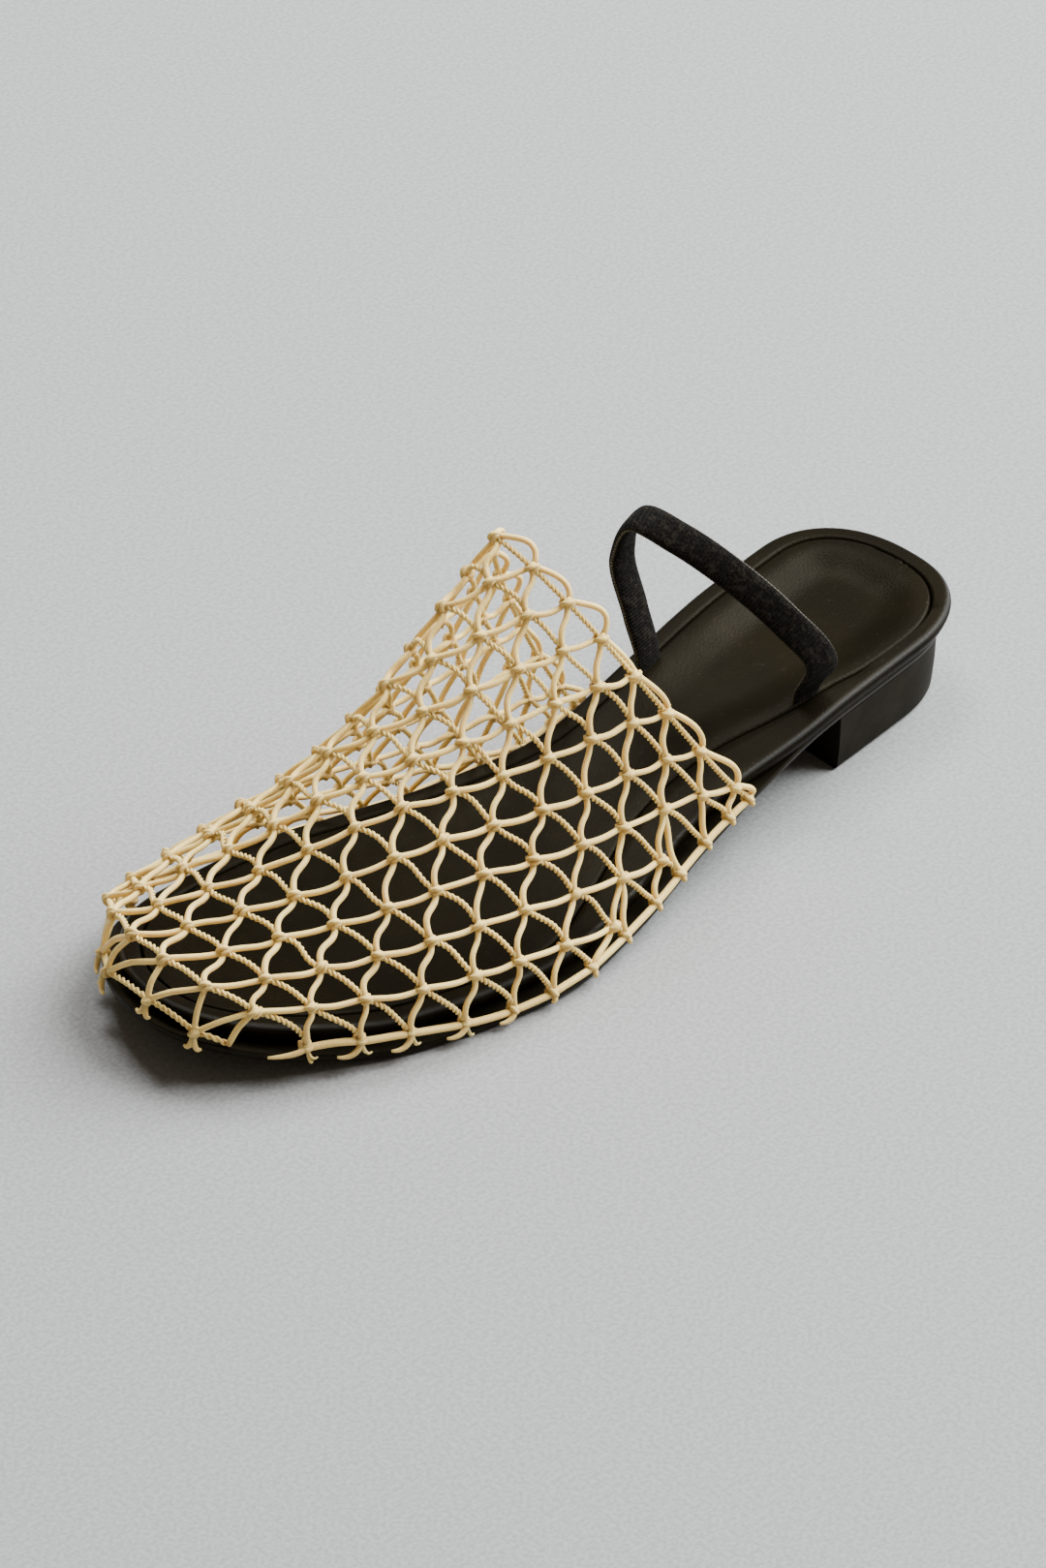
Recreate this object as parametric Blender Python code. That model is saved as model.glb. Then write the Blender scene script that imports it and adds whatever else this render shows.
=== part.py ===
"""Left mesh sandal: an open cord-net upper on a black footbed with a low block heel.

Sizes are in millimetres. x runs forward from the back of the heel, y to the wearer's left,
which is the outer side of a left shoe, and z up from the floor.
"""

import math
from collections import namedtuple

import bmesh
import bpy
import numpy as np

MM = 0.001
GAP = 0.3

# Driving sizes of the shoe
LENGTH = 250.0
HEEL_HEIGHT = 17.0
TOE_SPRING = 11.0
HEEL_BREAST = 53.0
HEEL_ROUND = 27.0
HEEL_ROUND_POWER = 2.35
TOE_ROUND = 54.0
TOE_ROUND_POWER = 2.2
OUTSOLE_THICKNESS = 2.8
MIDSOLE_THICKNESS = 5.4
TRAY_INSET = 5.0
CORD_THICKNESS = 1.6
CORD_WIDTH = 1.8
STRAP_WIDTH = 8.2
STRAP_THICKNESS = 2.8
STRAP_END_THICKNESS = 2.0

# Setbacks of each layer's edge from the sole's outline, at the heel and at the forefoot
OUTSOLE_SETBACK = (2.2, 0.0)
MIDSOLE_SETBACK = (0.0, 3.8)
HEEL_BLOCK_SETBACK = 3.4
NET_SETBACK = 0.7
NET_LIFT = 0.8
SETBACK_TURN = (62.0, 104.0)

# Mesh density, and the edge angle up to which faces are shaded as one
SMOOTH_ANGLE = 40.0
SOLE_STEPS = 40
HEEL_STEPS = 16
ROW_SAMPLES = 48
STRAP_STEPS = 34
STRAP_SIDES = 10

# The net: rows of cord from collar to toe, in the count of the real net
NET_ROWS = 13.0
NET_BANDS = 8
NET_PITCH = 21.0
EDGE_PARTS = 2
NORMAL_ROWS = 0.25
NORMAL_SHARE = 0.02

# The outline of the sole, before its ends are rounded
Outline = namedtuple("Outline", "station outer inner")
SOLE_OUTLINE = (
    Outline(0.0, 23.5, 31.0),
    Outline(20.0, 26.0, 30.2),
    Outline(45.0, 29.5, 26.8),
    Outline(75.0, 33.3, 22.5),
    Outline(105.0, 36.8, 22.0),
    Outline(135.0, 44.2, 29.0),
    Outline(160.0, 48.2, 37.5),
    Outline(180.0, 46.0, 42.5),
    Outline(200.0, 41.0, 44.0),
    Outline(222.0, 35.0, 44.5),
    Outline(250.0, 31.0, 41.0),
)

# The underside of the outsole over the floor, as shares of heel height and toe spring
Underside = namedtuple("Underside", "station heel_share spring_share")
SOLE_UNDERSIDE = (
    Underside(0.0, 1.0, 0.0),
    Underside(50.0, 0.96, 0.0),
    Underside(85.0, 0.72, 0.0),
    Underside(120.0, 0.28, 0.0),
    Underside(150.0, 0.05, 0.0),
    Underside(168.0, 0.0, 0.0),
    Underside(202.0, 0.0, 0.0),
    Underside(226.0, 0.0, 0.36),
    Underside(250.0, 0.0, 1.0),
)

# Edge profiles, from the middle of the underside round to the middle of the top
Profile = namedtuple("Profile", "place inset height")
OUTSOLE_PROFILE = (
    Profile("tread", 1.5, 0.0),
    Profile("lower edge", 0.3, 0.9),
    Profile("side", 0.0, 2.3),
    Profile("upper edge", 0.3, OUTSOLE_THICKNESS),
)
MIDSOLE_PROFILE = (
    Profile("underside", 2.4, 0.0),
    Profile("side foot", 1.2, 0.9),
    Profile("side", 0.1, 3.4),
    Profile("rounded edge", 0.4, 4.5),
    Profile("border outside", 1.3, MIDSOLE_THICKNESS),
    Profile("border inside", TRAY_INSET, MIDSOLE_THICKNESS),
    Profile("tray wall", 5.5, 4.5),
    Profile("tray floor", 5.6, 1.2),
)
INSOLE_PROFILE = (
    Profile("underside", 7.0, 1.2 + GAP),
    Profile("side", 6.5, 2.2),
    Profile("shoulder", 6.7, 4.2),
    Profile("roll", 7.8, 5.3),
    Profile("pad", 11.0, 5.7),
    Profile("pad slope", 14.0, 5.4),
    Profile("pad middle", 17.5, 5.1),
)
HEEL_BLOCK_PROFILE = (
    Profile("ground face", 1.8, 0.0),
    Profile("lower edge", 0.9, 0.9),
    Profile("side", 0.3, 8.0),
    Profile("top", 0.0, HEEL_HEIGHT),
)

# How much further in the pad's outer edge lies than an even border would put it
Waist = namedtuple("Waist", "station inset")
PAD_WAIST = (
    Waist(0.0, 0.0),
    Waist(30.0, -1.5),
    Waist(42.0, -1.0),
    Waist(52.0, 0.8),
    Waist(66.0, 3.2),
    Waist(86.0, 7.0),
    Waist(108.0, 8.0),
    Waist(135.0, 4.0),
    Waist(160.0, 0.0),
    Waist(250.0, 0.0),
)

# How far the pad's middle sinks into a cup below its rolled edge
Cup = namedtuple("Cup", "station depth")
HEEL_CUP = (Cup(0.0, 2.2), Cup(45.0, 2.2), Cup(85.0, 1.0), Cup(120.0, 0.0), Cup(250.0, 0.0))

# Sections of the last along the net's rows: where a row meets the sole on the outer and
# inner side, the ridge of the vamp over it, and how full the arch between them is
Section = namedtuple("Section", "row outer_x inner_x ridge_x ridge_y ridge_z fullness")
NET_SECTIONS = (
    Section(0.0, 91.0, 95.0, 134.0, -7.0, 89.8, 1.68),
    Section(2.0, 105.5, 112.0, 152.7, -7.0, 75.5, 1.69),
    Section(4.0, 124.7, 131.0, 169.2, -7.5, 60.8, 1.68),
    Section(6.0, 150.0, 152.0, 186.6, -7.0, 49.3, 1.72),
    Section(9.0, 191.0, 188.0, 212.8, -6.0, 33.3, 2.02),
    Section(11.0, 213.0, 210.0, 233.0, -5.0, 29.0, 2.00),
    Section(12.3, 234.0, 226.0, 243.0, -5.0, 26.8, 2.14),
    Section(13.0, 240.0, 235.0, 249.0, -5.0, 14.0, 2.28),
)
TOE_TURN = (10.5, 12.9)
TOE_TUCK = (12.3, 13.0)
HEM_HEIGHT = 1.2
LEAST_HEM = 0.05

# The elastic strap, bend by bend, with the lean of its flat face
Bend = namedtuple("Bend", "place x y z lean")
STRAP_BENDS = (
    Bend("inner leg", 80.0, -17.0, 38.0, 0.0),
    Bend("inner shoulder", 82.5, -19.0, 55.0, 0.0),
    Bend("crest", 82.0, -14.0, 67.0, 18.0),
    Bend("over the instep", 78.0, -4.0, 64.5, 34.0),
    Bend("middle", 72.0, 8.0, 57.5, 38.0),
    Bend("slope", 65.0, 20.0, 46.5, 36.0),
    Bend("outer shoulder", 60.0, 27.0, 36.0, 16.0),
)
STRAP_INNER_ANCHOR = 78.0
STRAP_OUTER_ANCHOR = 60.5
STRAP_INSET = 6.9
STRAP_ROOT = 2.4
STRAP_RISE = 3.5
STRAP_PINCH = (6.0, 16.0)
STRAP_ROUNDING = 0.7
POCKET_ROOM = 0.45
POCKET_DEPTH = 6.0
POCKET_HEIGHT = 16.0

BLACK_LEATHER = ("black_leather", (0.018, 0.017, 0.015, 1.0), 0.55)
BLACK_RUBBER = ("black_rubber", (0.012, 0.012, 0.011, 1.0), 0.65)
BLACK_ELASTIC = ("black_elastic", (0.010, 0.010, 0.009, 1.0), 0.80)
NATURAL_CORD = ("natural_cord", (0.62, 0.44, 0.24, 1.0), 0.75)


def column(table, name):
    """One named column of a table."""
    return np.array([getattr(row, name) for row in table])


def smooth(at, stations, values):
    """A smooth curve through a table's values, which never overshoots them."""
    step = np.diff(stations)
    slope = np.diff(values) / step
    tangent = np.zeros(len(values))
    same_way = slope[:-1] * slope[1:] > 0
    mean = 2 * slope[:-1] * slope[1:] / np.where(same_way, slope[:-1] + slope[1:], 1.0)
    tangent[1:-1] = np.where(same_way, mean, 0.0)
    tangent[0] = slope[0]
    tangent[-1] = slope[-1]
    at = np.clip(at, stations[0], stations[-1])
    k = np.clip(np.searchsorted(stations, at, side="right") - 1, 0, len(step) - 1)
    t = (at - stations[k]) / step[k]
    ends = values[k] * (1 + 2 * t) * (1 - t) ** 2 + values[k + 1] * t * t * (3 - 2 * t)
    return ends + step[k] * (tangent[k] * t * (1 - t) ** 2 - tangent[k + 1] * t * t * (1 - t))


def ramp(at, limits):
    """A soft step from 0 to 1 between two limits."""
    t = np.clip((at - limits[0]) / (limits[1] - limits[0]), 0.0, 1.0)
    return t * t * (3 - 2 * t)


def end_rounding(distance, reach, power):
    """The share of full width at a distance from a rounded end."""
    inward = np.clip(1 - distance / reach, 0.0, 1.0)
    return (1 - inward**power) ** (1 / power)


def underside(x):
    """Height of the outsole's underside over the floor."""
    stations = column(SOLE_UNDERSIDE, "station")
    heel = smooth(x, stations, column(SOLE_UNDERSIDE, "heel_share"))
    spring = smooth(x, stations, column(SOLE_UNDERSIDE, "spring_share"))
    return HEEL_HEIGHT * heel + TOE_SPRING * spring


def half_widths(x):
    """Reach of the sole's outline to the outer and the inner side of its axis."""
    stations = column(SOLE_OUTLINE, "station")
    round_heel = end_rounding(x, HEEL_ROUND, HEEL_ROUND_POWER)
    round_toe = end_rounding(LENGTH - x, TOE_ROUND, TOE_ROUND_POWER)
    outer = smooth(x, stations, column(SOLE_OUTLINE, "outer")) * round_heel * round_toe
    inner = smooth(x, stations, column(SOLE_OUTLINE, "inner")) * round_heel * round_toe
    return outer, inner


def setback(x, limits):
    """A setback that changes from its heel value to its forefoot value at the waist."""
    return limits[0] + (limits[1] - limits[0]) * ramp(x, SETBACK_TURN)


def pushed_in(loop, distance, closed=True):
    """A clockwise outline moved inward along its normals."""
    if closed:
        along = np.roll(loop, -1, axis=0) - np.roll(loop, 1, axis=0)
    else:
        along = np.gradient(loop, axis=0)
    along = along / np.linalg.norm(along, axis=1)[:, None]
    outward = np.stack([-along[:, 1], along[:, 0]], axis=1)
    return loop - outward * np.reshape(distance, (-1, 1))


def sole_loop():
    """The sole's outline: heel, outer side, toe, inner side."""
    x = LENGTH / 2 * (1 - np.cos(np.linspace(0, math.pi, SOLE_STEPS + 1)))
    outer, inner = half_widths(x)
    outward = np.stack([x, outer], axis=1)
    back = np.stack([x, -inner], axis=1)[-2:0:-1]
    return np.concatenate([outward, back])


def waist_inset(loop):
    """What the border's width differs by along the pad's outer edge."""
    inset = smooth(loop[:, 0], column(PAD_WAIST, "station"), column(PAD_WAIST, "inset"))
    return np.where(loop[:, 1] > 0, inset, 0.0)


def sole_ring(limits, inset, height):
    """The outline set back, with its height over the sole's underside."""
    loop = sole_loop()
    waist = waist_inset(loop) if inset >= TRAY_INSET else 0.0
    flat = pushed_in(loop, setback(loop[:, 0], limits) + inset + waist)
    height = height(flat[:, 0]) if callable(height) else height
    return np.column_stack([flat, underside(flat[:, 0]) + height])


def heel_ring(inset, height):
    """The heel block's outline: inner breast corner, round the back, outer breast corner."""
    x = HEEL_BREAST * (1 - np.cos(np.linspace(0, math.pi / 2, HEEL_STEPS + 1)))
    outer, inner = half_widths(x)
    loop = np.concatenate([np.stack([x, -inner], axis=1)[:0:-1], np.stack([x, outer], axis=1)])
    flat = pushed_in(loop, np.full(len(loop), HEEL_BLOCK_SETBACK + inset), closed=False)
    flat[[0, -1], 0] = HEEL_BREAST
    top = underside(flat[:, 0]) - GAP
    return np.column_stack([flat, top * height / HEEL_HEIGHT])


def ladder(first, count, middle):
    """Faces that close a ring by rungs between its two sides, paired about a middle point."""
    faces = []
    for k in range((count + 1) // 2):
        left = [(middle + k) % count, (middle + k + 1) % count]
        right = [(middle - k - 1) % count, (middle - k) % count]
        corners = list(dict.fromkeys(left + right))
        if len(corners) > 2:
            faces.append([first + c for c in corners])
        if left[1] == right[0] or (left[1] - right[0]) % count == count - 1:
            break
    return faces


def bridge(first, second, count):
    """Quads between two rings of equal count."""
    return [
        [first + k, first + (k + 1) % count, second + (k + 1) % count, second + k]
        for k in range(count)
    ]


def stacked(rings, middle):
    """Vertices and faces of a solid from rings, closed below the first and above the last."""
    count = len(rings[0])
    faces = ladder(0, count, middle)
    for level in range(len(rings) - 1):
        faces += bridge(level * count, (level + 1) * count, count)
    faces += ladder((len(rings) - 1) * count, count, middle)
    return np.concatenate(rings), faces


def material(finish):
    """A plain material of a named colour and roughness."""
    name, colour, roughness = finish
    made = bpy.data.materials.get(name)
    if made is None:
        made = bpy.data.materials.new(name)
        made.use_nodes = True
        shader = made.node_tree.nodes["Principled BSDF"]
        shader.inputs["Base Color"].default_value = colour
        shader.inputs["Roughness"].default_value = roughness
        shader.inputs["Metallic"].default_value = 0.0
    return made


def add_solid(name, shape, finish, parent):
    """A named object from vertices in millimetres and faces."""
    vertices, faces = shape
    mesh = bpy.data.meshes.new(name)
    build = bmesh.new()
    made = [build.verts.new(v * MM) for v in np.asarray(vertices, float)]
    for face in faces:
        build.faces.new([made[k] for k in face])
    bmesh.ops.triangulate(build, faces=[f for f in build.faces if len(f.verts) > 3])
    bmesh.ops.recalc_face_normals(build, faces=build.faces)
    build.to_mesh(mesh)
    build.free()
    mesh.materials.append(material(finish))
    mesh.shade_smooth()
    mesh.set_sharp_from_angle(angle=math.radians(SMOOTH_ANGLE))
    solid = bpy.data.objects.new(name, mesh)
    bpy.context.scene.collection.objects.link(solid)
    solid.parent = parent
    return solid


def make_outsole(parent):
    rings = [sole_ring(OUTSOLE_SETBACK, row.inset, row.height) for row in OUTSOLE_PROFILE]
    return add_solid("outsole", stacked(rings, 0), BLACK_RUBBER, parent)


def make_midsole(parent):
    foot = OUTSOLE_THICKNESS + GAP
    rings = [sole_ring(MIDSOLE_SETBACK, row.inset, foot + row.height) for row in MIDSOLE_PROFILE]
    return add_solid("midsole", stacked(rings, 0), BLACK_LEATHER, parent)


def pad_height(row):
    """Height of one ring of the pad over the sole's underside, sunk into the heel cup."""
    foot = OUTSOLE_THICKNESS + GAP
    deepest = INSOLE_PROFILE[-1].inset
    start = INSOLE_PROFILE[-4].inset
    share = max(0.0, (row.inset - start) / (deepest - start))
    if row.place == "underside":
        share = 0.0

    def over_underside(x):
        depth = smooth(x, column(HEEL_CUP, "station"), column(HEEL_CUP, "depth"))
        return foot + row.height - depth * share

    return over_underside


def make_insole(parent, pockets):
    rings = [sole_ring(MIDSOLE_SETBACK, row.inset, pad_height(row)) for row in INSOLE_PROFILE]
    insole = add_solid("insole", stacked(rings, 0), BLACK_LEATHER, parent)
    for pocket in pockets:
        cut = insole.modifiers.new("strap pocket", "BOOLEAN")
        cut.operation = "DIFFERENCE"
        cut.object = pocket
    return insole


def make_heel_block(parent):
    rings = [heel_ring(row.inset, row.height) for row in HEEL_BLOCK_PROFILE]
    return add_solid("heel_block", stacked(rings, HEEL_STEPS), BLACK_RUBBER, parent)


def section_at(row):
    """The last's section along one row of the net."""
    rows = column(NET_SECTIONS, "row")
    return Section(row, *(smooth(row, rows, column(NET_SECTIONS, name)) for name in Section._fields[1:]))


def toe_front(y):
    """How far forward the net's foot line reaches at the toe, at a distance from the axis."""
    loop = pushed_in(sole_loop(), NET_SETBACK)
    toe = loop[loop[:, 0] > LENGTH - TOE_ROUND]
    order = np.argsort(toe[:, 1])
    return np.interp(y, toe[order, 1], toe[order, 0])


def foot_point(x, side):
    """A point of the net's foot line, on the sole's outer (1) or inner (-1) side."""
    loop = pushed_in(sole_loop(), NET_SETBACK)
    half = loop[: SOLE_STEPS + 1] if side > 0 else np.concatenate([loop[SOLE_STEPS:], loop[:1]])[::-1]
    return np.interp(x, half[:, 0], half[:, 1])


def row_curve(row):
    """One row of the net as points from its inner foot, over the ridge, to its outer foot."""
    section = section_at(row)
    seat = OUTSOLE_THICKNESS + NET_LIFT
    angle = np.linspace(0, math.pi / 2, ROW_SAMPLES)
    halves = []
    for side, foot_x in ((-1, section.inner_x), (1, section.outer_x)):
        foot_y = foot_point(foot_x, side)
        base = underside(foot_x) + seat
        hem = HEM_HEIGHT * (1 - ramp(row, TOE_TUCK))
        rise = np.sin(angle) ** (2 / section.fullness)
        spread = np.cos(angle) ** (2 / section.fullness)
        y = section.ridge_y + (foot_y - section.ridge_y) * spread
        arch_x = foot_x + (section.ridge_x - foot_x) * np.sin(angle)
        turn = ramp(row, TOE_TURN)
        x = arch_x * (1 - turn) + np.maximum(toe_front(y), foot_x) * turn
        at_toe = underside(x) + seat
        flat_base = base + (at_toe - base) * turn
        lift = max(section.ridge_z - hem - flat_base[-1], 0.0)
        z = flat_base + hem + lift * rise
        arch = np.column_stack([x, y, z])
        foot = np.array([[foot_x, foot_y, base]])
        halves.append(np.concatenate([foot, arch]) if hem > LEAST_HEM else arch)
    return np.concatenate([halves[0], halves[1][-2::-1]])


def along(curve, share):
    """Points at shares of a curve's length."""
    steps = np.linalg.norm(np.diff(curve, axis=0), axis=1)
    run = np.concatenate([[0.0], np.cumsum(steps)])
    return np.stack([np.interp(np.asarray(share) * run[-1], run, curve[:, k]) for k in range(3)], axis=-1)


def length_of(curve):
    return np.linalg.norm(np.diff(curve, axis=0), axis=1).sum()


def net_point(row, share):
    return along(row_curve(row), share)


def net_normal(row, share):
    """The outward normal of the net's middle surface."""
    low, high = max(row - NORMAL_ROWS, 0.0), min(row + NORMAL_ROWS, NET_ROWS)
    left, right = max(share - NORMAL_SHARE, 0.0), min(share + NORMAL_SHARE, 1.0)
    forward = net_point(high, share) - net_point(low, share)
    across = net_point(row, right) - net_point(row, left)
    normal = np.cross(forward, across)
    return normal / np.linalg.norm(normal)


def net_knots():
    """Rows of knots as (row, share) pairs, each row staggered against the next."""
    rows = []
    for band in range(NET_BANDS + 1):
        row = NET_ROWS * band / NET_BANDS
        wanted = length_of(row_curve(row)) / NET_PITCH
        parity = band % 2
        meshes = max(2, 2 * round((wanted - parity) / 2) + parity)
        rows.append([(row, k / meshes) for k in range(meshes + 1)])
    return rows


def net_gaps():
    """The net's triangular gaps, each as three knots, zipped up band by band."""
    rows = net_knots()
    gaps = []
    for upper, lower in zip(rows, rows[1:]):
        i = 0
        j = 0
        while i < len(upper) - 1 or j < len(lower) - 1:
            next_upper = upper[min(i + 1, len(upper) - 1)][1]
            next_lower = lower[min(j + 1, len(lower) - 1)][1]
            step_upper = j == len(lower) - 1 or (i < len(upper) - 1 and next_upper <= next_lower)
            if step_upper:
                gaps.append((upper[i], upper[i + 1], lower[j]))
                i += 1
            else:
                gaps.append((upper[i], lower[j + 1], lower[j]))
                j += 1
    return gaps


def edge_point(start, end, part):
    """A point along a cord between two knots."""
    t = part / EDGE_PARTS
    return (start[0] + (end[0] - start[0]) * t, start[1] + (end[1] - start[1]) * t)


def inset_corners(corners, widths):
    """A gap's own corners: those of its knots moved in by the cords' widths, in their plane."""
    a, b, c = corners
    normal = np.cross(b - a, c - a)
    normal = normal / np.linalg.norm(normal)
    lines = []
    for start, end, width in zip((a, b, c), (b, c, a), widths):
        way = (end - start) / np.linalg.norm(end - start)
        inward = np.cross(normal, way)
        lines.append((start + inward * width, way, inward))
    inner = []
    for k in range(3):
        point, way, _ = lines[k]
        other, _, other_in = lines[k - 1]
        t = np.dot(other - point, other_in) / np.dot(way, other_in)
        inner.append(point + way * t)
    return inner


def make_net_upper(parent):
    """The cord net as one open wall: outer faces, inner faces, and the walls of each gap."""
    gaps = net_gaps()
    uses = {}
    for gap in gaps:
        for k in range(3):
            key = frozenset((gap[k], gap[(k + 1) % 3]))
            uses[key] = uses.get(key, 0) + 1
    vertices = []
    faces = []
    shared = {}

    def pair(point, normal):
        """Indices of a point's outer and inner vertices."""
        vertices.append(point + normal * CORD_THICKNESS / 2)
        vertices.append(point - normal * CORD_THICKNESS / 2)
        return len(vertices) - 2, len(vertices) - 1

    def on_cord(place):
        key = (round(place[0], 5), round(place[1], 5))
        if key not in shared:
            shared[key] = pair(net_point(*place), net_normal(*place))
        return shared[key]

    for gap in gaps:
        knots = [net_point(*knot) for knot in gap]
        single = [uses[frozenset((gap[k], gap[(k + 1) % 3]))] == 1 for k in range(3)]
        widths = [CORD_WIDTH if s else CORD_WIDTH / 2 for s in single]
        corners = inset_corners(knots, widths)
        weights = [np.linalg.solve(np.column_stack(knots), corner) for corner in corners]
        places = [
            (sum(w * knot[0] for w, knot in zip(ws, gap)), sum(w * knot[1] for w, knot in zip(ws, gap)))
            for ws in weights
        ]
        outer_loop = []
        gap_loop = []
        for k in range(3):
            for part in range(EDGE_PARTS):
                outer_loop.append(on_cord(edge_point(gap[k], gap[(k + 1) % 3], part)))
                place = edge_point(places[k], places[(k + 1) % 3], part)
                gap_loop.append(pair(net_point(*place), net_normal(*place)))
        count = len(outer_loop)
        for k in range(count):
            n = (k + 1) % count
            faces.append([outer_loop[k][0], outer_loop[n][0], gap_loop[n][0], gap_loop[k][0]])
            faces.append([outer_loop[n][1], outer_loop[k][1], gap_loop[k][1], gap_loop[n][1]])
            faces.append([gap_loop[k][0], gap_loop[n][0], gap_loop[n][1], gap_loop[k][1]])
            if single[k // EDGE_PARTS]:
                faces.append([outer_loop[n][0], outer_loop[k][0], outer_loop[k][1], outer_loop[n][1]])
    return add_solid("net_upper", (np.array(vertices), faces), NATURAL_CORD, parent)


def anchor(x, side):
    """Where a strap end stands in the footbed's groove, and the direction of the edge there."""
    loop = sole_loop()
    flat = pushed_in(loop, setback(loop[:, 0], MIDSOLE_SETBACK) + STRAP_INSET + waist_inset(loop))
    half = flat[: SOLE_STEPS + 1] if side > 0 else np.concatenate([flat[SOLE_STEPS:], flat[:1]])[::-1]
    y = np.interp(x, half[:, 0], half[:, 1])
    ahead = np.interp(x + 1.0, half[:, 0], half[:, 1])
    way = np.array([1.0, ahead - y, 0.0])
    floor = underside(x) + OUTSOLE_THICKNESS + GAP + STRAP_ROOT
    return np.array([x, y, floor]), way / np.linalg.norm(way)


def spline(points, count):
    """A smooth curve through points, with evenly spread samples."""
    points = np.asarray(points, float)
    run = np.concatenate([[0.0], np.cumsum(np.linalg.norm(np.diff(points, axis=0), axis=1))])
    at = np.linspace(0, run[-1], count)
    tangent = np.gradient(points, run, axis=0)
    k = np.clip(np.searchsorted(run, at, side="right") - 1, 0, len(run) - 2)
    h = (run[k + 1] - run[k])[:, None]
    t = ((at - run[k]) / (run[k + 1] - run[k]))[:, None]
    return (
        points[k] * (1 + 2 * t) * (1 - t) ** 2
        + points[k + 1] * t * t * (3 - 2 * t)
        + h * (tangent[k] * t * (1 - t) ** 2 - tangent[k + 1] * t * t * (1 - t))
    )


def make_strap(parent):
    """The elastic strap, swept along its bends and pinched flat where it enters the groove."""
    inner_foot, inner_way = anchor(STRAP_INNER_ANCHOR, -1)
    outer_foot, outer_way = anchor(STRAP_OUTER_ANCHOR, 1)
    rise = np.array([0.0, 0.0, STRAP_RISE])
    bends = [np.array([row.x, row.y, row.z]) for row in STRAP_BENDS]
    points = [inner_foot, inner_foot + rise] + bends + [outer_foot + rise, outer_foot]
    leans = [0.0, 0.0] + [row.lean for row in STRAP_BENDS] + [0.0, 0.0]
    path = spline(points, STRAP_STEPS)
    run = np.concatenate([[0.0], np.cumsum(np.linalg.norm(np.diff(points, axis=0), axis=1))])
    at = np.linspace(0, run[-1], STRAP_STEPS)
    lean = np.radians(np.interp(at, run, leans))
    tangent = np.gradient(path, axis=0)
    tangent[[0, -1]] = [[0, 0, 1], [0, 0, -1]]
    share = (at / run[-1])[:, None]
    forward = inner_way * (1 - share) + outer_way * share
    pinch = ramp(np.minimum(at, run[-1] - at), STRAP_PINCH)
    rings = []
    for k in range(STRAP_STEPS):
        t = tangent[k] / np.linalg.norm(tangent[k])
        across = forward[k] - t * np.dot(forward[k], t)
        across = across / np.linalg.norm(across)
        up = np.cross(t, across)
        wide = across * math.cos(lean[k]) + up * math.sin(lean[k])
        thick = np.cross(t, wide)
        half_thickness = STRAP_END_THICKNESS / 2 + (STRAP_THICKNESS - STRAP_END_THICKNESS) / 2 * pinch[k]
        turn = np.linspace(0, 2 * math.pi, STRAP_SIDES, endpoint=False) + math.pi / STRAP_SIDES
        flat = np.sign(np.cos(turn)) * np.abs(np.cos(turn)) ** STRAP_ROUNDING * STRAP_WIDTH / 2
        crown = np.sign(np.sin(turn)) * np.abs(np.sin(turn)) ** STRAP_ROUNDING * half_thickness
        rings.append(path[k] + flat[:, None] * wide + crown[:, None] * thick)
    faces = [list(range(STRAP_SIDES))]
    for level in range(STRAP_STEPS - 1):
        faces += bridge(level * STRAP_SIDES, (level + 1) * STRAP_SIDES, STRAP_SIDES)
    faces.append([(STRAP_STEPS - 1) * STRAP_SIDES + k for k in range(STRAP_SIDES)])
    return add_solid("ankle_strap", (np.concatenate(rings), faces), BLACK_ELASTIC, parent)


def make_pocket(name, x, side, parent):
    """A cutter for the notch in the insole that a strap end stands in."""
    foot, way = anchor(x, side)
    out = np.array([-way[1], way[0], 0.0])
    half_length = STRAP_WIDTH / 2 + POCKET_ROOM
    half_depth = STRAP_END_THICKNESS / 2 + POCKET_ROOM
    low = foot - np.array([0.0, 0.0, POCKET_DEPTH])
    corners = [
        low + way * a * half_length + out * b * half_depth + np.array([0.0, 0.0, c])
        for c in (0.0, POCKET_HEIGHT)
        for a, b in ((-1, -1), (1, -1), (1, 1), (-1, 1))
    ]
    faces = [[0, 1, 2, 3], [4, 5, 6, 7]] + [[k, (k + 1) % 4, 4 + (k + 1) % 4, 4 + k] for k in range(4)]
    cutter = add_solid(name, (np.array(corners), faces), BLACK_LEATHER, parent)
    cutter.hide_render = True
    cutter.display_type = "WIRE"
    return cutter


def make_origin():
    """An empty that puts the frame's origin under the middle of the sole."""
    loop = sole_loop()
    middle = (loop.min(axis=0) + loop.max(axis=0)) / 2
    origin = bpy.data.objects.new("sandal", None)
    bpy.context.scene.collection.objects.link(origin)
    origin.location = (-middle[0] * MM, -middle[1] * MM, 0.0)
    return origin


def main():
    for old in list(bpy.data.objects):
        bpy.data.objects.remove(old)
    origin = make_origin()
    make_outsole(origin)
    make_heel_block(origin)
    make_midsole(origin)
    pockets = [
        make_pocket("inner_pocket", STRAP_INNER_ANCHOR, -1, origin),
        make_pocket("outer_pocket", STRAP_OUTER_ANCHOR, 1, origin),
    ]
    make_insole(origin, pockets)
    make_net_upper(origin)
    make_strap(origin)


main()
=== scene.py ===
"""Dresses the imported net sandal, as a Blender add-on run as a script.

Shapes are worked out in millimetres from the back of the heel, as in the tables below: x forward, y to the
wearer's left, which is the outer side of a left shoe, and z up. They are put into the row frame, in metres,
when a mesh is made.
"""

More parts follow.
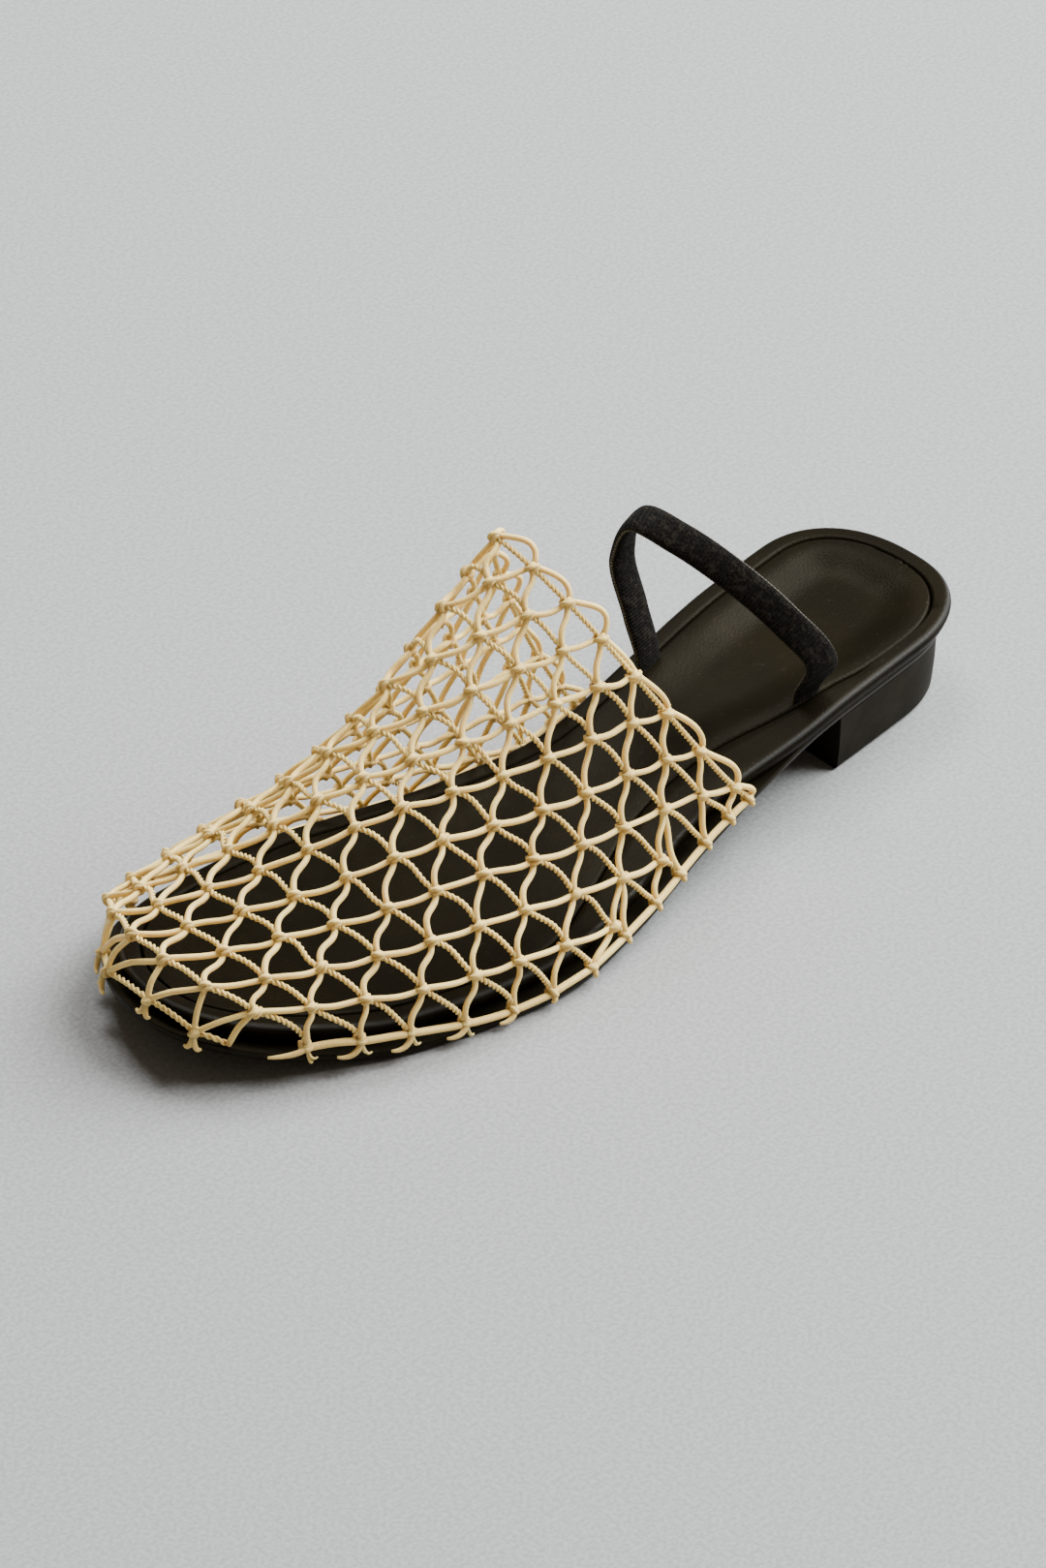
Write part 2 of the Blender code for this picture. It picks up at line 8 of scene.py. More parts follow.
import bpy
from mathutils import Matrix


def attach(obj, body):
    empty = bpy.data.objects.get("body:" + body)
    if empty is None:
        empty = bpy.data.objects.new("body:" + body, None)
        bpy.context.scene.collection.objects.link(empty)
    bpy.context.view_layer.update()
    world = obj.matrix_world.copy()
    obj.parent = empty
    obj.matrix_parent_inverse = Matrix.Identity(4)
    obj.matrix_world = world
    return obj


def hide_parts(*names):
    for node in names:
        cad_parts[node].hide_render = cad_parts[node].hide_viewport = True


bl_info = {
    "name": "Net Sandal",
    "version": (1, 0, 0),
    "blender": (4, 5, 0),
    "location": "View3D > Sidebar > Sandal",
    "description": "Cord net, footbed, sole, heel and elastic strap of one left sandal, with its stage",
    "category": "Object",
}

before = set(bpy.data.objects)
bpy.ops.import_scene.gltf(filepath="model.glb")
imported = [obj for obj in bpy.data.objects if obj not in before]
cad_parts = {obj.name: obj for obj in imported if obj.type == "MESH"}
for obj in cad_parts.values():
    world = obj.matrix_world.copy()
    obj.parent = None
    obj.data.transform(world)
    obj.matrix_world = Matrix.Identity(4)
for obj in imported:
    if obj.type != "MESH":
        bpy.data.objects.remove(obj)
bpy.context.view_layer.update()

import math
from collections import namedtuple

import bmesh
import bpy
import numpy as np
from bpy.props import FloatProperty, FloatVectorProperty, IntProperty, PointerProperty
from mathutils import Matrix, Vector


def table(columns, *rows):
    """Rows of values with named columns."""
    return tuple(map(namedtuple("Row", columns)._make, rows))


MM = 0.001
RNG_SEED = 7
TINY = 1e-9
UP = np.array([0.0, 0.0, 1.0])
LEVEL = 1 - UP

# Driving sizes, as in the solids
LENGTH = 250.0
HEEL_HEIGHT = 17.0
TOE_SPRING = 11.0
HEEL_BREAST = 53.0
HEEL_ROUND = 27.0
HEEL_ROUND_POWER = 2.35
TOE_ROUND = 54.0
TOE_ROUND_POWER = 2.2
GAP = 0.3
OUTSOLE_THICKNESS = 2.8
MIDSOLE_THICKNESS = 5.4
TRAY_INSET = 5.0
OUTSOLE_SETBACK = (2.2, 0.0)
MIDSOLE_SETBACK = (0.0, 3.8)
HEEL_BLOCK_SETBACK = 3.4
NET_SETBACK = 0.7
NET_LIFT = 0.8
SETBACK_TURN = (62.0, 104.0)

# How finely the sole and the heel are meshed, and how their corners are rounded
SOLE_STEPS = 110
HEEL_STEPS = 44
CORNER_SHARE = 0.45
CORNER_REACH = 0.8
CORNER_PARTS = 4

# Painted highlight lines along the border's outer edge and low on the outsole's side, by inset and height,
# and where the outsole's line fades
BORDER_HIGHLIGHT = (0.75, 4.9)
BORDER_HIGHLIGHT_WIDTH = 0.45
SOLE_HIGHLIGHT = (0.15, 1.2)
SOLE_HIGHLIGHT_WIDTH = 0.6
SOLE_HIGHLIGHT_END = (70.0, 110.0)

# The sole's outline, fitted to the photo and then moved, its underside, and its layers' profiles
SOLE_OUTLINE = table(
    "station outer inner",
    (0.0, 23.5, 31.0), (20.0, 26.0, 30.2), (45.0, 29.5, 26.8), (75.0, 33.3, 22.5),
    (105.0, 36.8, 22.0), (135.0, 44.2, 29.0), (160.0, 48.2, 37.5), (180.0, 46.0, 42.5),
    (200.0, 41.0, 44.0), (222.0, 35.0, 44.5), (250.0, 31.0, 41.0),
)
SOLE_UNDERSIDE = table(
    "station heel_share spring_share",
    (0.0, 1.0, 0.0), (50.0, 0.96, 0.0), (85.0, 0.72, 0.0), (120.0, 0.28, 0.0), (150.0, 0.05, 0.0),
    (168.0, 0.0, 0.0), (202.0, 0.0, 0.0), (226.0, 0.0, 0.36), (250.0, 0.0, 1.0),
)
OUTSOLE_PROFILE = table(
    "place inset height",
    ("tread", 1.5, 0.0),
    ("lower edge", 0.3, 0.9),
    ("side", 0.0, 2.3),
    ("upper edge", 0.3, OUTSOLE_THICKNESS),
)
MIDSOLE_PROFILE = table(
    "place inset height",
    ("underside", 2.4, 0.0),
    ("side foot", 1.2, 0.9),
    ("side", 0.1, 3.4),
    ("rounded edge", 0.4, 4.5),
    ("border outside", 1.3, MIDSOLE_THICKNESS),
    ("border inside", TRAY_INSET, MIDSOLE_THICKNESS),
    ("tray wall", 5.5, 4.5),
    ("tray floor", 5.6, 1.2),
)
HEEL_BLOCK_PROFILE = table(
    "place inset height",
    ("ground face", 1.8, 0.0),
    ("lower edge", 0.9, 0.9),
    ("side", 0.3, 8.0),
    ("top", 0.0, HEEL_HEIGHT),
)

# The padded footbed, and how much further in its outer edge lies than an even border would put it
PAD_INSET = 5.75
PAD_BASE = 1.5
PAD_FOOT = 4.5
PAD_TOP = 5.35
PAD_SHOULDER = 1.0
PAD_ROLL = 0.12
PAD_ROLL_PLACE = 4.0
PAD_ROLL_WIDTH = 2.8
CUP_WALL = (2.0, 14.0)
ARCH_HEIGHT = 0.6
ARCH_PLACE = 104.0
ARCH_LENGTH = 26.0
ARCH_SIDE = (-4.0, 15.0)
PAD_COLUMNS = 48
PAD_WAIST = table(
    "station inset",
    (0.0, 0.0), (30.0, -1.5), (42.0, -1.0), (52.0, 0.8), (66.0, 3.2), (86.0, 7.0), (108.0, 8.0),
    (135.0, 4.0), (160.0, 0.0), (250.0, 0.0),
)
HEEL_CUP = table("station depth", (0.0, 2.9), (45.0, 2.7), (85.0, 1.2), (120.0, 0.2), (250.0, 0.2))

# Sections of the last along the net's rows, mostly rounded from a fit to the photo
Section = namedtuple("Section", "row outer_x inner_x ridge_x ridge_y ridge_z fullness")
NET_SECTIONS = (
    Section(0.0, 91.0, 95.0, 134.0, -7.0, 89.8, 1.68),
    Section(2.0, 105.5, 112.0, 152.7, -7.0, 75.5, 1.69),
    Section(4.0, 124.7, 131.0, 169.2, -7.5, 60.8, 1.68),
    Section(6.0, 150.0, 152.0, 186.6, -7.0, 49.3, 1.72),
    Section(9.0, 191.0, 188.0, 212.8, -6.0, 33.3, 2.02),
    Section(11.0, 213.0, 210.0, 233.0, -5.0, 29.0, 2.00),
    Section(12.3, 234.0, 226.0, 243.0, -5.0, 26.8, 2.14),
    Section(13.0, 240.0, 235.0, 249.0, -5.0, 14.0, 2.28),
)
TOE_TURN = (10.5, 12.9)
TOE_TUCK = (12.3, 13.0)
HEM_HEIGHT = 1.2
LEAST_HEM = 0.05
NET_ROWS = 13
ROW_SAMPLES = 60
ROW_STEP = 0.05
SHARE_STEPS = 320
LAST_CELL = 0.001

# How the net is stretched over the last: meshes grow away from the ridge, and each row is shifted
MESH_STRETCH = 0.0008
STAGGER = 0.5
NET_REACH = 0.9
ROW_SHIFTS = table(
    "row meshes",
    (0.0, 0.50), (2.0, 0.49), (4.0, 0.42), (6.0, 0.27), (8.0, 0.25), (10.0, 0.18), (11.0, 0.15),
    (12.0, -0.06), (13.0, -0.08),
)
EDGE_ROOM = 4.2

# How high the lowest knots sit over the foot of the net
EDGE_RISES = table(
    "row height",
    (0.0, 0.6), (4.0, 0.8), (8.0, 0.4), (9.0, 2.0), (10.0, 5.0), (11.0, 5.4), (12.0, 2.0),
    (13.0, 0.8),
)

# How far the rows are pulled back over the ridge and pushed forward at the sides, in rows
ROW_WARPS = table(
    "row pull push",
    (0.0, 0.0, 0.0), (1.5, 0.27, 0.25), (3.0, 0.27, 0.50), (6.5, 0.27, 0.50), (7.5, 0.27, 0.35),
    (9.0, 0.17, 0.0), (10.0, 0.11, 0.0), (11.0, 0.11, 0.0), (12.0, 0.27, 0.0), (13.0, 0.0, 0.0),
)
SIDE_REACH = 85.0

# The row along the toe's edge: where its places in the flat net are laid, and how it is lifted in its middle
TOE_ROWS = (12.0, 13.0)
TOE_SPREAD = table(
    "flat laid",
    (-200.0, -212.0), (-18.0, -30.0), (-0.9, -14.0), (10.5, 6.0), (22.1, 18.0), (28.0, 27.0),
    (200.0, 199.0),
)
TOE_LIFT = 0.24
TOE_LIFT_PLACE = 6.0
TOE_LIFT_REACH = 13.0

# How far a looped cord leaves its front knot and arrives nearer the collar off its straight way, in meshes
LoopBend = namedtuple("LoopBend", "leave arrive pull")
OUTWARD_LOOP = LoopBend(0.22, -0.30, 0.38)
RIDGEWARD_LOOP = LoopBend(-0.80, -0.38, 0.40)
LOOP_FULL_CHORD = 0.35
LOOP_LIFT = 0.35
LOOP_STEPS = 18

# The rows, how they are linked, and how taut the cords are drawn at the toe
ROPE_STEP = 0.3
STRAND_SPREAD = 1.0
# Painted shade on the rows: a little all along each row, and more near its knots
ROW_SHADE = 0.12
ROW_KNOT_SHADE = 0.7
LINK_SLACK = 2.0
TOE_TAUT = 0.75

# Cords as tubes
FINE_SIDES = 6
CORD_SIDES = 8
CAP_BULGE = 0.4

# Knots: a cord hitched round the row, another one that crosses it, and the cord near them darkened by painted
# shade
KNOT_SHADE_REACH = 1.7
KNOT_CORD_SHARE = 0.86
HITCH_RADIUS = 0.98
HITCH_LENGTH = 1.9
HITCH_TURNS = (-0.35, 2.75)
HITCH_STEPS = 20
HITCH_UNDERSIDE = -0.2
# Painted shade on a knot: on the hitch, more at its ends and on its underside, and at the crossing cord's
# ends
HITCH_SHADE = 0.10
HITCH_END_SHADE = 0.35
HITCH_UNDER_SHADE = 0.30
CROSSING_RISE = 0.55
CROSSING_FALL = 1.2
CROSSING_WAY = (0.9, 1.1)
CROSSING_STEPS = 9
CROSSING_SHADE = 0.04
CROSSING_END_SHADE = 0.6

# Loops of the collar, with their heights from the ridge down, and cords along the sole
SCALLOP_STEPS = 26
SCALLOP_STAND = 0.5
COLLAR_LOOPS = (1.05, 0.75, 1.30, 0.25, 0.45, 0.75, 0.80, 1.00)
EDGE_STAND = 0.5
EDGE_DROP = 0.5
EDGE_CORD_GAIN = 1.2

# Hand-made unevenness, as a mean and a spread
ROW_BOW = (-0.085, 0.04)
ROW_KINK = (0.0, 0.03)
LOOP_STRAY = (0.0, 0.15)
LOOP_WAVE = (0.1, 0.25)
KNOT_LEAN = (0.0, 0.25)
SCALLOP_TILT = (0.2, 0.4)
FOOT_SAG = (0.1, 0.2)

# Hand-made unevenness, as the least and the most
CORD_SIZES = (0.93, 1.07)
KNOT_SIZES = (0.88, 1.12)
SCALLOP_LEANS = (1.5, 2.1)
SCALLOP_ROUNDS = (0.5, 0.7)
END_REACHES = (0.75, 1.2)
END_DROPS = (0.8, 1.15)

# The cut ends under the lowest knots: how far they hook towards the toe, and how far down
CUT_ENDS = table(
    "row forward drop",
    (0.0, 0.4, 1.2), (5.0, 0.4, 1.8), (7.0, 1.6, 1.8), (8.0, 4.8, 2.0), (10.0, 6.4, 3.2),
    (11.0, 6.4, 3.6), (12.0, 8.6, 1.0), (13.0, 2.0, 1.5),
)
TOE_ENDS = ((2.2, 3.6), (-2.6, 4.2))
INNER_END_SHARE = 0.35
END_STEPS = 10
END_TAPER = 0.55
END_STAND = 0.9
END_BULGE = 1.0
END_ARCH = 0.7
END_HOOK = 1.6
END_SWING = 0.62
# Painted shade on a cut end: darkest where it leaves its knot, fading along it
END_SHADE = 0.45
END_SHADE_FALL = 0.4

# The ends of a row's two strands, behind the hooks of the forward rows
ROW_TAILS = ((-1.0, 3.4), (-2.0, 3.0))
FIRST_TAILED_ROW = 9

# The elastic strap, bend by bend, with the lean of its flat face
STRAP_BENDS = table(
    "place x y z lean",
    ("inner leg", 80.0, -17.0, 38.0, 0.0),
    ("inner shoulder", 82.5, -19.0, 55.0, 0.0),
    ("crest", 82.0, -14.0, 67.0, 18.0),
    ("over the instep", 78.0, -4.0, 64.5, 34.0),
    ("middle", 72.0, 8.0, 57.5, 38.0),
    ("slope", 65.0, 20.0, 46.5, 36.0),
    ("outer shoulder", 60.0, 27.0, 36.0, 16.0),
)
STRAP_INNER_ANCHOR = 78.0
STRAP_OUTER_ANCHOR = 60.5
STRAP_INSET = 6.9
STRAP_ROOT = 2.4
STRAP_RISE = 3.5
STRAP_PINCH = (6.0, 16.0)
STRAP_ROUNDING = 0.7
STRAP_STEPS = 150
STRAP_SIDES = 24

# Finishes: colours, patterns of noise, limits of soft steps, and the darker and lighter tones of a colour
WARM_SHINE = (1.0, 0.88, 0.60, 1.0)
# Painted highlight colour, used along the border's outer edge and the outsole's line
PAINTED_EDGE_HIGHLIGHT = (0.040, 0.041, 0.040, 1.0)
# Painted highlight colour along the strap's edges
STRAP_PAINTED_HIGHLIGHT = (0.150, 0.140, 0.118, 1.0)
DUST_COLOUR = (0.075, 0.066, 0.052, 1.0)
SCUFF_COLOUR = (0.060, 0.054, 0.044, 1.0)
Noise = namedtuple("Noise", "scale detail roughness step", defaults=(0.55, None))
CORD_PATCHES = Noise(55.0, 3.0)
CORD_FIBRES = Noise(1.6, 4.0, 0.65)
CORD_SPECKS = Noise(1300.0, 2.0)
LEATHER_PORES = Noise(2400.0, 2.0)
LEATHER_RUBBING = Noise(34.0, 4.0, step=(0.38, 0.68))
LEATHER_DUST = Noise(620.0, 3.0, step=(0.62, 0.80))
RUBBER_MOTTLE = Noise(90.0, 4.0, step=(0.35, 0.70))
RUBBER_BUFFING = Noise(1700.0, 3.0)
RUBBER_SCUFFS = Noise(260.0, 5.0, 0.7, step=(0.60, 0.76))
WEAVE_MOTTLE = Noise(520.0, 3.0, 0.7, step=(0.48, 0.66))
FLOOR_CLOUD = Noise(2.2, 3.0)
FLOOR_GRIT = Noise(900.0, 2.0)
CORD_WEAR = (0.36, 0.66)
SPECK_STEP = (0.60, 0.78)
PEBBLE_EDGE = (0.0, 0.35)
STRAP_EDGE = (0.35, 0.95)
STRAP_PAINTED_HIGHLIGHT_EDGE = (0.75, 0.98)
GRIT_STEP = (0.3, 0.7)
CORD_TONES = (0.84, 1.03)
LEATHER_TONES = (0.80, 1.30)
RUBBER_TONES = (0.80, 1.25)
ELASTIC_TONES = (0.30, 5.0)
FLOOR_TONES = (0.84, 1.16)
FIBRE_STRETCH = (0.35, 9.0)
WEAVE_STRETCH = (1.1, 26.0)
CORD_TWIST = 1.3
OUTSOLE_GLOSS = 0.42
HEEL_GLOSS = 0.55
BORDER_GLOSS = 0.42
FOOTBED_GLOSS = 0.40
ROW_TWIST_MARKS = 0.15
LOOP_TWIST_MARKS = 0.22
KNOT_TWIST_MARKS = 0.20
OUTSOLE_SHARP = 50.0
HEEL_SHARP = 40.0
LEATHER_SHARP = 60.0
MIX_COLOURS = (6, 7)
MIX_RESULT = 2

# The photograph's standpoint, from the outline of the sole, with the camera aimed at the one shoe
CAMERA_AZIMUTH = 137.77
CAMERA_ELEVATION = 36.81
CAMERA_DISTANCE = 1898.0
CAMERA_TARGET = (138.9, 7.8, 28.8)
CAMERA_LENS = 185.0
CAMERA_SENSOR = 36.0

# The lights, by their distances from the shoe towards the camera, to its right and up, in metres
LIGHTS = table(
    "name power size near right up",
    ("window", "window_power", 2.1, -0.75, 1.40, 1.60),
    ("ceiling", "ceiling_power", 0.8, -1.00, -0.35, 1.9),
)
LIGHT_TARGET = (0.0, 0.0, 0.03)
LIGHT_COLOUR = (0.985, 0.995, 1.0)
SKY_COLOUR = (1.0, 0.82, 0.62, 1.0)


def a_length(name, description, default, least, most):
    """A length that a user can change."""
    return FloatProperty(
        name=name, description=description, unit="LENGTH", default=default, min=least, max=most,
    )


def a_colour(name, description, default):
    """A colour that a user can change."""
    return FloatVectorProperty(
        name=name, description=description, subtype="COLOR", default=default, min=0.0, max=1.0,
    )


def a_power(name, description, default):
    """The power of a light, which a user can change."""
    return FloatProperty(name=name, description=description, unit="POWER", default=default, min=0.0)


class SandalSole(bpy.types.PropertyGroup):
    """Sizes and colours of the sole, heel and footbed."""

    leather_colour: a_colour("Leather", "Colour of the footbed and its border", (0.0054, 0.0043, 0.0022))
    rubber_colour: a_colour("Rubber", "Colour of the outsole and the heel block", (0.0078, 0.0063, 0.0036))
    grain_size: a_length("Grain", "Width of one pebble of the leather's grain", 0.0011, 0.0002, 0.01)


class SandalNet(bpy.types.PropertyGroup):
    """Sizes and colours of the knotted net."""

    mesh_pitch: a_length("Mesh", "Distance between the knots of a row on the ridge", 0.0114, 0.006, 0.03)
    cord_diameter: a_length("Cord", "Thickness of a looped cord", 0.00148, 0.0008, 0.003)
    strand_diameter: a_length("Strand", "Thickness of one of a row's two strands", 0.00078, 0.0004, 0.002)
    twist_length: a_length("Twist", "Length of one turn of a row's two strands", 0.0026, 0.001, 0.01)
    scallop_height: a_length("Scallop", "How far a loop of the collar stands off its row", 0.0032, 0.0, 0.01)
    cord_colour: a_colour("Cord", "Colour of the cord where it is clean", (1.0, 0.725, 0.260))
    # The shade colour is the colour of painted shade on the cord in its knots and creases
    shade_colour: a_colour("Shade", "Colour of the cord in its knots and creases", (0.42, 0.24, 0.08))
    seed: IntProperty(name="Seed", description="Choice of the hand-made unevenness", default=RNG_SEED, min=0)


class SandalStrap(bpy.types.PropertyGroup):
    """Sizes and colour of the elastic strap."""

    width: a_length("Width", "Width of the elastic", 0.0082, 0.003, 0.02)
    thickness: a_length("Thickness", "Thickness of the elastic", 0.0028, 0.001, 0.008)
    end_thickness: a_length(
        "End thickness", "Thickness where it is pinched in the groove", 0.0020, 0.001, 0.008,
    )
    rib_pitch: a_length("Rib", "Distance between the ribs of the elastic", 0.00095, 0.0003, 0.003)
    elastic_colour: a_colour("Elastic", "Colour of the elastic", (0.0045, 0.0038, 0.0027))


class SandalStage(bpy.types.PropertyGroup):
    """The floor and the light."""

    floor_colour: a_colour("Floor", "Colour of the floor", (0.299, 0.306, 0.309))
    floor_width: a_length("Floor width", "Width of the floor", 12.0, 1.0, 50.0)
    window_power: a_power("Window", "Power of the large soft light from behind", 226.0)
    ceiling_power: a_power("Ceiling", "Power of the soft light from above", 35.5)
    sky_strength: FloatProperty(
        name="Sky", description="Strength of the even light from all round", default=0.205, min=0.0,
    )


def column(rows, name):
    """One named column of a table."""
    return np.array([getattr(row, name) for row in rows])


def hermite(stations, values, tangents, at):
    """A curve through values at stations, with the slopes that it has there."""
    k = np.clip(np.searchsorted(stations, at, side="right") - 1, 0, len(stations) - 2)
    step = stations[k + 1] - stations[k]
    t = (at - stations[k]) / step
    if values.ndim > 1:
        step = step[:, None]
        t = t[:, None]
    ends = values[k] * (1 + 2 * t) * (1 - t) ** 2 + values[k + 1] * t * t * (3 - 2 * t)
    return ends + step * (tangents[k] * t * (1 - t) ** 2 - tangents[k + 1] * t * t * (1 - t))


def smooth(at, stations, values):
    """A smooth curve through a table's values, which never overshoots them."""
    slope = np.diff(values) / np.diff(stations)
    same_way = slope[:-1] * slope[1:] > 0
    mean = 2 * slope[:-1] * slope[1:] / np.where(same_way, slope[:-1] + slope[1:], 1.0)
    tangents = np.concatenate([slope[:1], np.where(same_way, mean, 0.0), slope[-1:]])
    return hermite(stations, values, tangents, np.clip(at, stations[0], stations[-1]))


def read(rows, name, at):
    """One column of a table as a smooth curve over its first column."""
    return smooth(at, column(rows, rows[0]._fields[0]), column(rows, name))


def ramp(at, limits):
    """A soft step from 0 to 1 between two limits."""
    t = np.clip((at - limits[0]) / (limits[1] - limits[0]), 0.0, 1.0)
    return t * t * (3 - 2 * t)


def unit(vectors):
    """Vectors at length 1."""
    return vectors / np.maximum(np.linalg.norm(vectors, axis=-1, keepdims=True), TINY)


def end_rounding(distance, reach, power):
    """The share of full width at a distance from a rounded end."""
    inward = np.clip(1 - distance / reach, 0.0, 1.0)
    return (1 - inward**power) ** (1 / power)


def underside(x):
    """Height of the outsole's underside over the floor."""
    heel = read(SOLE_UNDERSIDE, "heel_share", x)
    return HEEL_HEIGHT * heel + TOE_SPRING * read(SOLE_UNDERSIDE, "spring_share", x)


def half_widths(x):
    """Reach of the sole's outline to the outer and the inner side of its axis."""
    heel = end_rounding(x, HEEL_ROUND, HEEL_ROUND_POWER)
    rounding = heel * end_rounding(LENGTH - x, TOE_ROUND, TOE_ROUND_POWER)
    return read(SOLE_OUTLINE, "outer", x) * rounding, read(SOLE_OUTLINE, "inner", x) * rounding


def setback(x, limits):
    """A setback that changes from its heel value to its forefoot value at the waist."""
    return limits[0] + (limits[1] - limits[0]) * ramp(x, SETBACK_TURN)


def pushed_in(loop, distance, closed=True):
    """A clockwise outline moved inward along its normals."""
    if closed:
        along = np.roll(loop, -1, axis=0) - np.roll(loop, 1, axis=0)
    else:
        along = np.gradient(loop, axis=0)
    along = unit(along)
    outward = np.stack([-along[:, 1], along[:, 0]], axis=1)
    return loop - outward * np.reshape(distance, (-1, 1))


def sole_loop():
    """The sole's outline: heel, outer side, toe, inner side."""
    x = LENGTH / 2 * (1 - np.cos(np.linspace(0, math.pi, SOLE_STEPS + 1)))
    outer, inner = half_widths(x)
    return np.concatenate([np.stack([x, outer], axis=1), np.stack([x, -inner], axis=1)[-2:0:-1]])


def waist_inset(loop):
    """What the border's width differs by along the pad's outer edge."""
    return np.where(loop[:, 1] > 0, read(PAD_WAIST, "inset", loop[:, 0]), 0.0)


def border_loop(inset):
    """The line at one distance inside the midsole's edge, as the border's width has it."""
    setbacks = setback(SOLE_LOOP[:, 0], MIDSOLE_SETBACK)
    return pushed_in(SOLE_LOOP, setbacks + inset + waist_inset(SOLE_LOOP))


SOLE_LOOP = sole_loop()
NET_FOOT_LOOP = pushed_in(SOLE_LOOP, np.full(len(SOLE_LOOP), NET_SETBACK))
PAD_LOOP = border_loop(PAD_INSET)
ORIGIN = np.append((SOLE_LOOP.min(axis=0) + SOLE_LOOP.max(axis=0)) / 2, 0.0)


def to_frame(points):
    """Points in millimetres from the heel as points of the row frame, in metres."""
    return (np.asarray(points, float) - ORIGIN) * MM


def sides(loop):
    """The outer and the inner side of a loop, each from heel to toe."""
    half = len(loop) // 2
    return loop[: half + 1], np.concatenate([loop[half:], loop[:1]])[::-1]


def rounded(profile):
    """A profile with each inner corner turned into a short curve."""
    points = np.array([(row.inset, row.height) for row in profile])
    curve = [points[0]]
    for before, corner, after in zip(points, points[1:], points[2:]):
        start, end = (corner + unit(way) * min(CORNER_SHARE * np.linalg.norm(way), CORNER_REACH)
                      for way in (before - corner, after - corner))
        for t in np.linspace(0, 1, CORNER_PARTS):
            curve.append(start * (1 - t) ** 2 + corner * 2 * t * (1 - t) + end * t * t)
    curve.append(points[-1])
    return curve


def sole_ring(limits, inset, height):
    """The outline set back, with its height over the sole's underside."""
    waist = waist_inset(SOLE_LOOP) * ramp(inset, (TRAY_INSET - CORNER_REACH, TRAY_INSET))
    flat = pushed_in(SOLE_LOOP, setback(SOLE_LOOP[:, 0], limits) + inset + waist)
    return np.column_stack([flat, underside(flat[:, 0]) + height])


def heel_ring(inset, height):
    """The heel block's outline: inner breast corner, round the back, outer breast corner."""
    x = HEEL_BREAST * (1 - np.cos(np.linspace(0, math.pi / 2, HEEL_STEPS + 1)))
    outer, inner = half_widths(x)
    loop = np.concatenate([np.stack([x, -inner], axis=1)[:0:-1], np.stack([x, outer], axis=1)])
    flat = pushed_in(loop, np.full(len(loop), HEEL_BLOCK_SETBACK + inset), closed=False)
    flat[[0, -1], 0] = HEEL_BREAST
    top = underside(flat[:, 0]) - GAP
    return np.column_stack([flat, top * height / HEEL_HEIGHT])


def ladder(first, count, middle):
    """Faces that close a ring by rungs between its two sides, paired about a middle point."""
    faces = []
    for k in range((count + 1) // 2):
        left = [(middle + k) % count, (middle + k + 1) % count]
        right = [(middle - k - 1) % count, (middle - k) % count]
        corners = list(dict.fromkeys(left + right))
        if len(corners) > 2:
            faces.append([first + c for c in corners])
        if left[1] == right[0] or (left[1] - right[0]) % count == count - 1:
            break
    return faces


def tube_quads(steps, ring):
    """Faces between the rings of a tube, by the numbers of their corners."""
    here = np.arange(steps * ring).reshape(steps, ring)
    beside = np.roll(here, -1, axis=1)
    return np.stack([here[:-1], here[1:], beside[1:], beside[:-1]], -1).reshape(-1, 4)


def stacked(rings, middle):
    """Vertices and faces of a solid from rings, closed below the first and above the last."""
    count = len(rings[0])
    wall = tube_quads(len(rings), count)[:, [0, 3, 2, 1]].tolist()
    top = ladder((len(rings) - 1) * count, count, middle)
    return np.concatenate(rings), ladder(0, count, middle) + wall + top


def section_at(row):
    """The last's section along one row of the net."""
    return Section(*(read(NET_SECTIONS, name, row) for name in Section._fields))


def toe_front(y):
    """How far forward the net's foot line reaches at the toe, at a distance from the axis."""
    toe = NET_FOOT_LOOP[NET_FOOT_LOOP[:, 0] > LENGTH - TOE_ROUND]
    order = np.argsort(toe[:, 1])
    return np.interp(y, toe[order, 1], toe[order, 0])


def row_curve(row):
    """One row of the net as points from its inner to its outer foot, and the ridge's place among them."""
    section = section_at(row)
    seat = OUTSOLE_THICKNESS + NET_LIFT
    angle = np.linspace(0, math.pi / 2, ROW_SAMPLES)
    turn = ramp(row, TOE_TURN)
    hem = HEM_HEIGHT * (1 - ramp(row, TOE_TUCK))
    outer_side, inner_side = sides(NET_FOOT_LOOP)
    halves = []
    for side, foot_x in ((inner_side, section.inner_x), (outer_side, section.outer_x)):
        foot_y = np.interp(foot_x, side[:, 0], side[:, 1])
        base = underside(foot_x) + seat
        rise = np.sin(angle) ** (2 / section.fullness)
        spread = np.cos(angle) ** (2 / section.fullness)
        y = section.ridge_y + (foot_y - section.ridge_y) * spread
        arch_x = foot_x + (section.ridge_x - foot_x) * np.sin(angle)
        x = arch_x * (1 - turn) + np.maximum(toe_front(y), foot_x) * turn
        flat_base = base + (underside(x) + seat - base) * turn
        lift = max(section.ridge_z - hem - flat_base[-1], 0.0)
        arch = np.column_stack([x, y, flat_base + hem + lift * rise])
        foot = np.array([[foot_x, foot_y, base]])
        halves.append(np.concatenate([foot, arch]) if hem > LEAST_HEM else arch)
    return np.concatenate([halves[0], halves[1][-2::-1]]), len(halves[0]) - 1


def run_of(curve):
    """Distances along a curve."""
    return np.concatenate([[0.0], np.cumsum(np.linalg.norm(np.diff(curve, axis=0), axis=1))])


def at_run(curve, distances):
    """Points of a curve at distances along it."""
    run = run_of(curve)
    return np.stack([np.interp(distances, run, curve[:, k]) for k in range(curve.shape[1])], axis=-1)


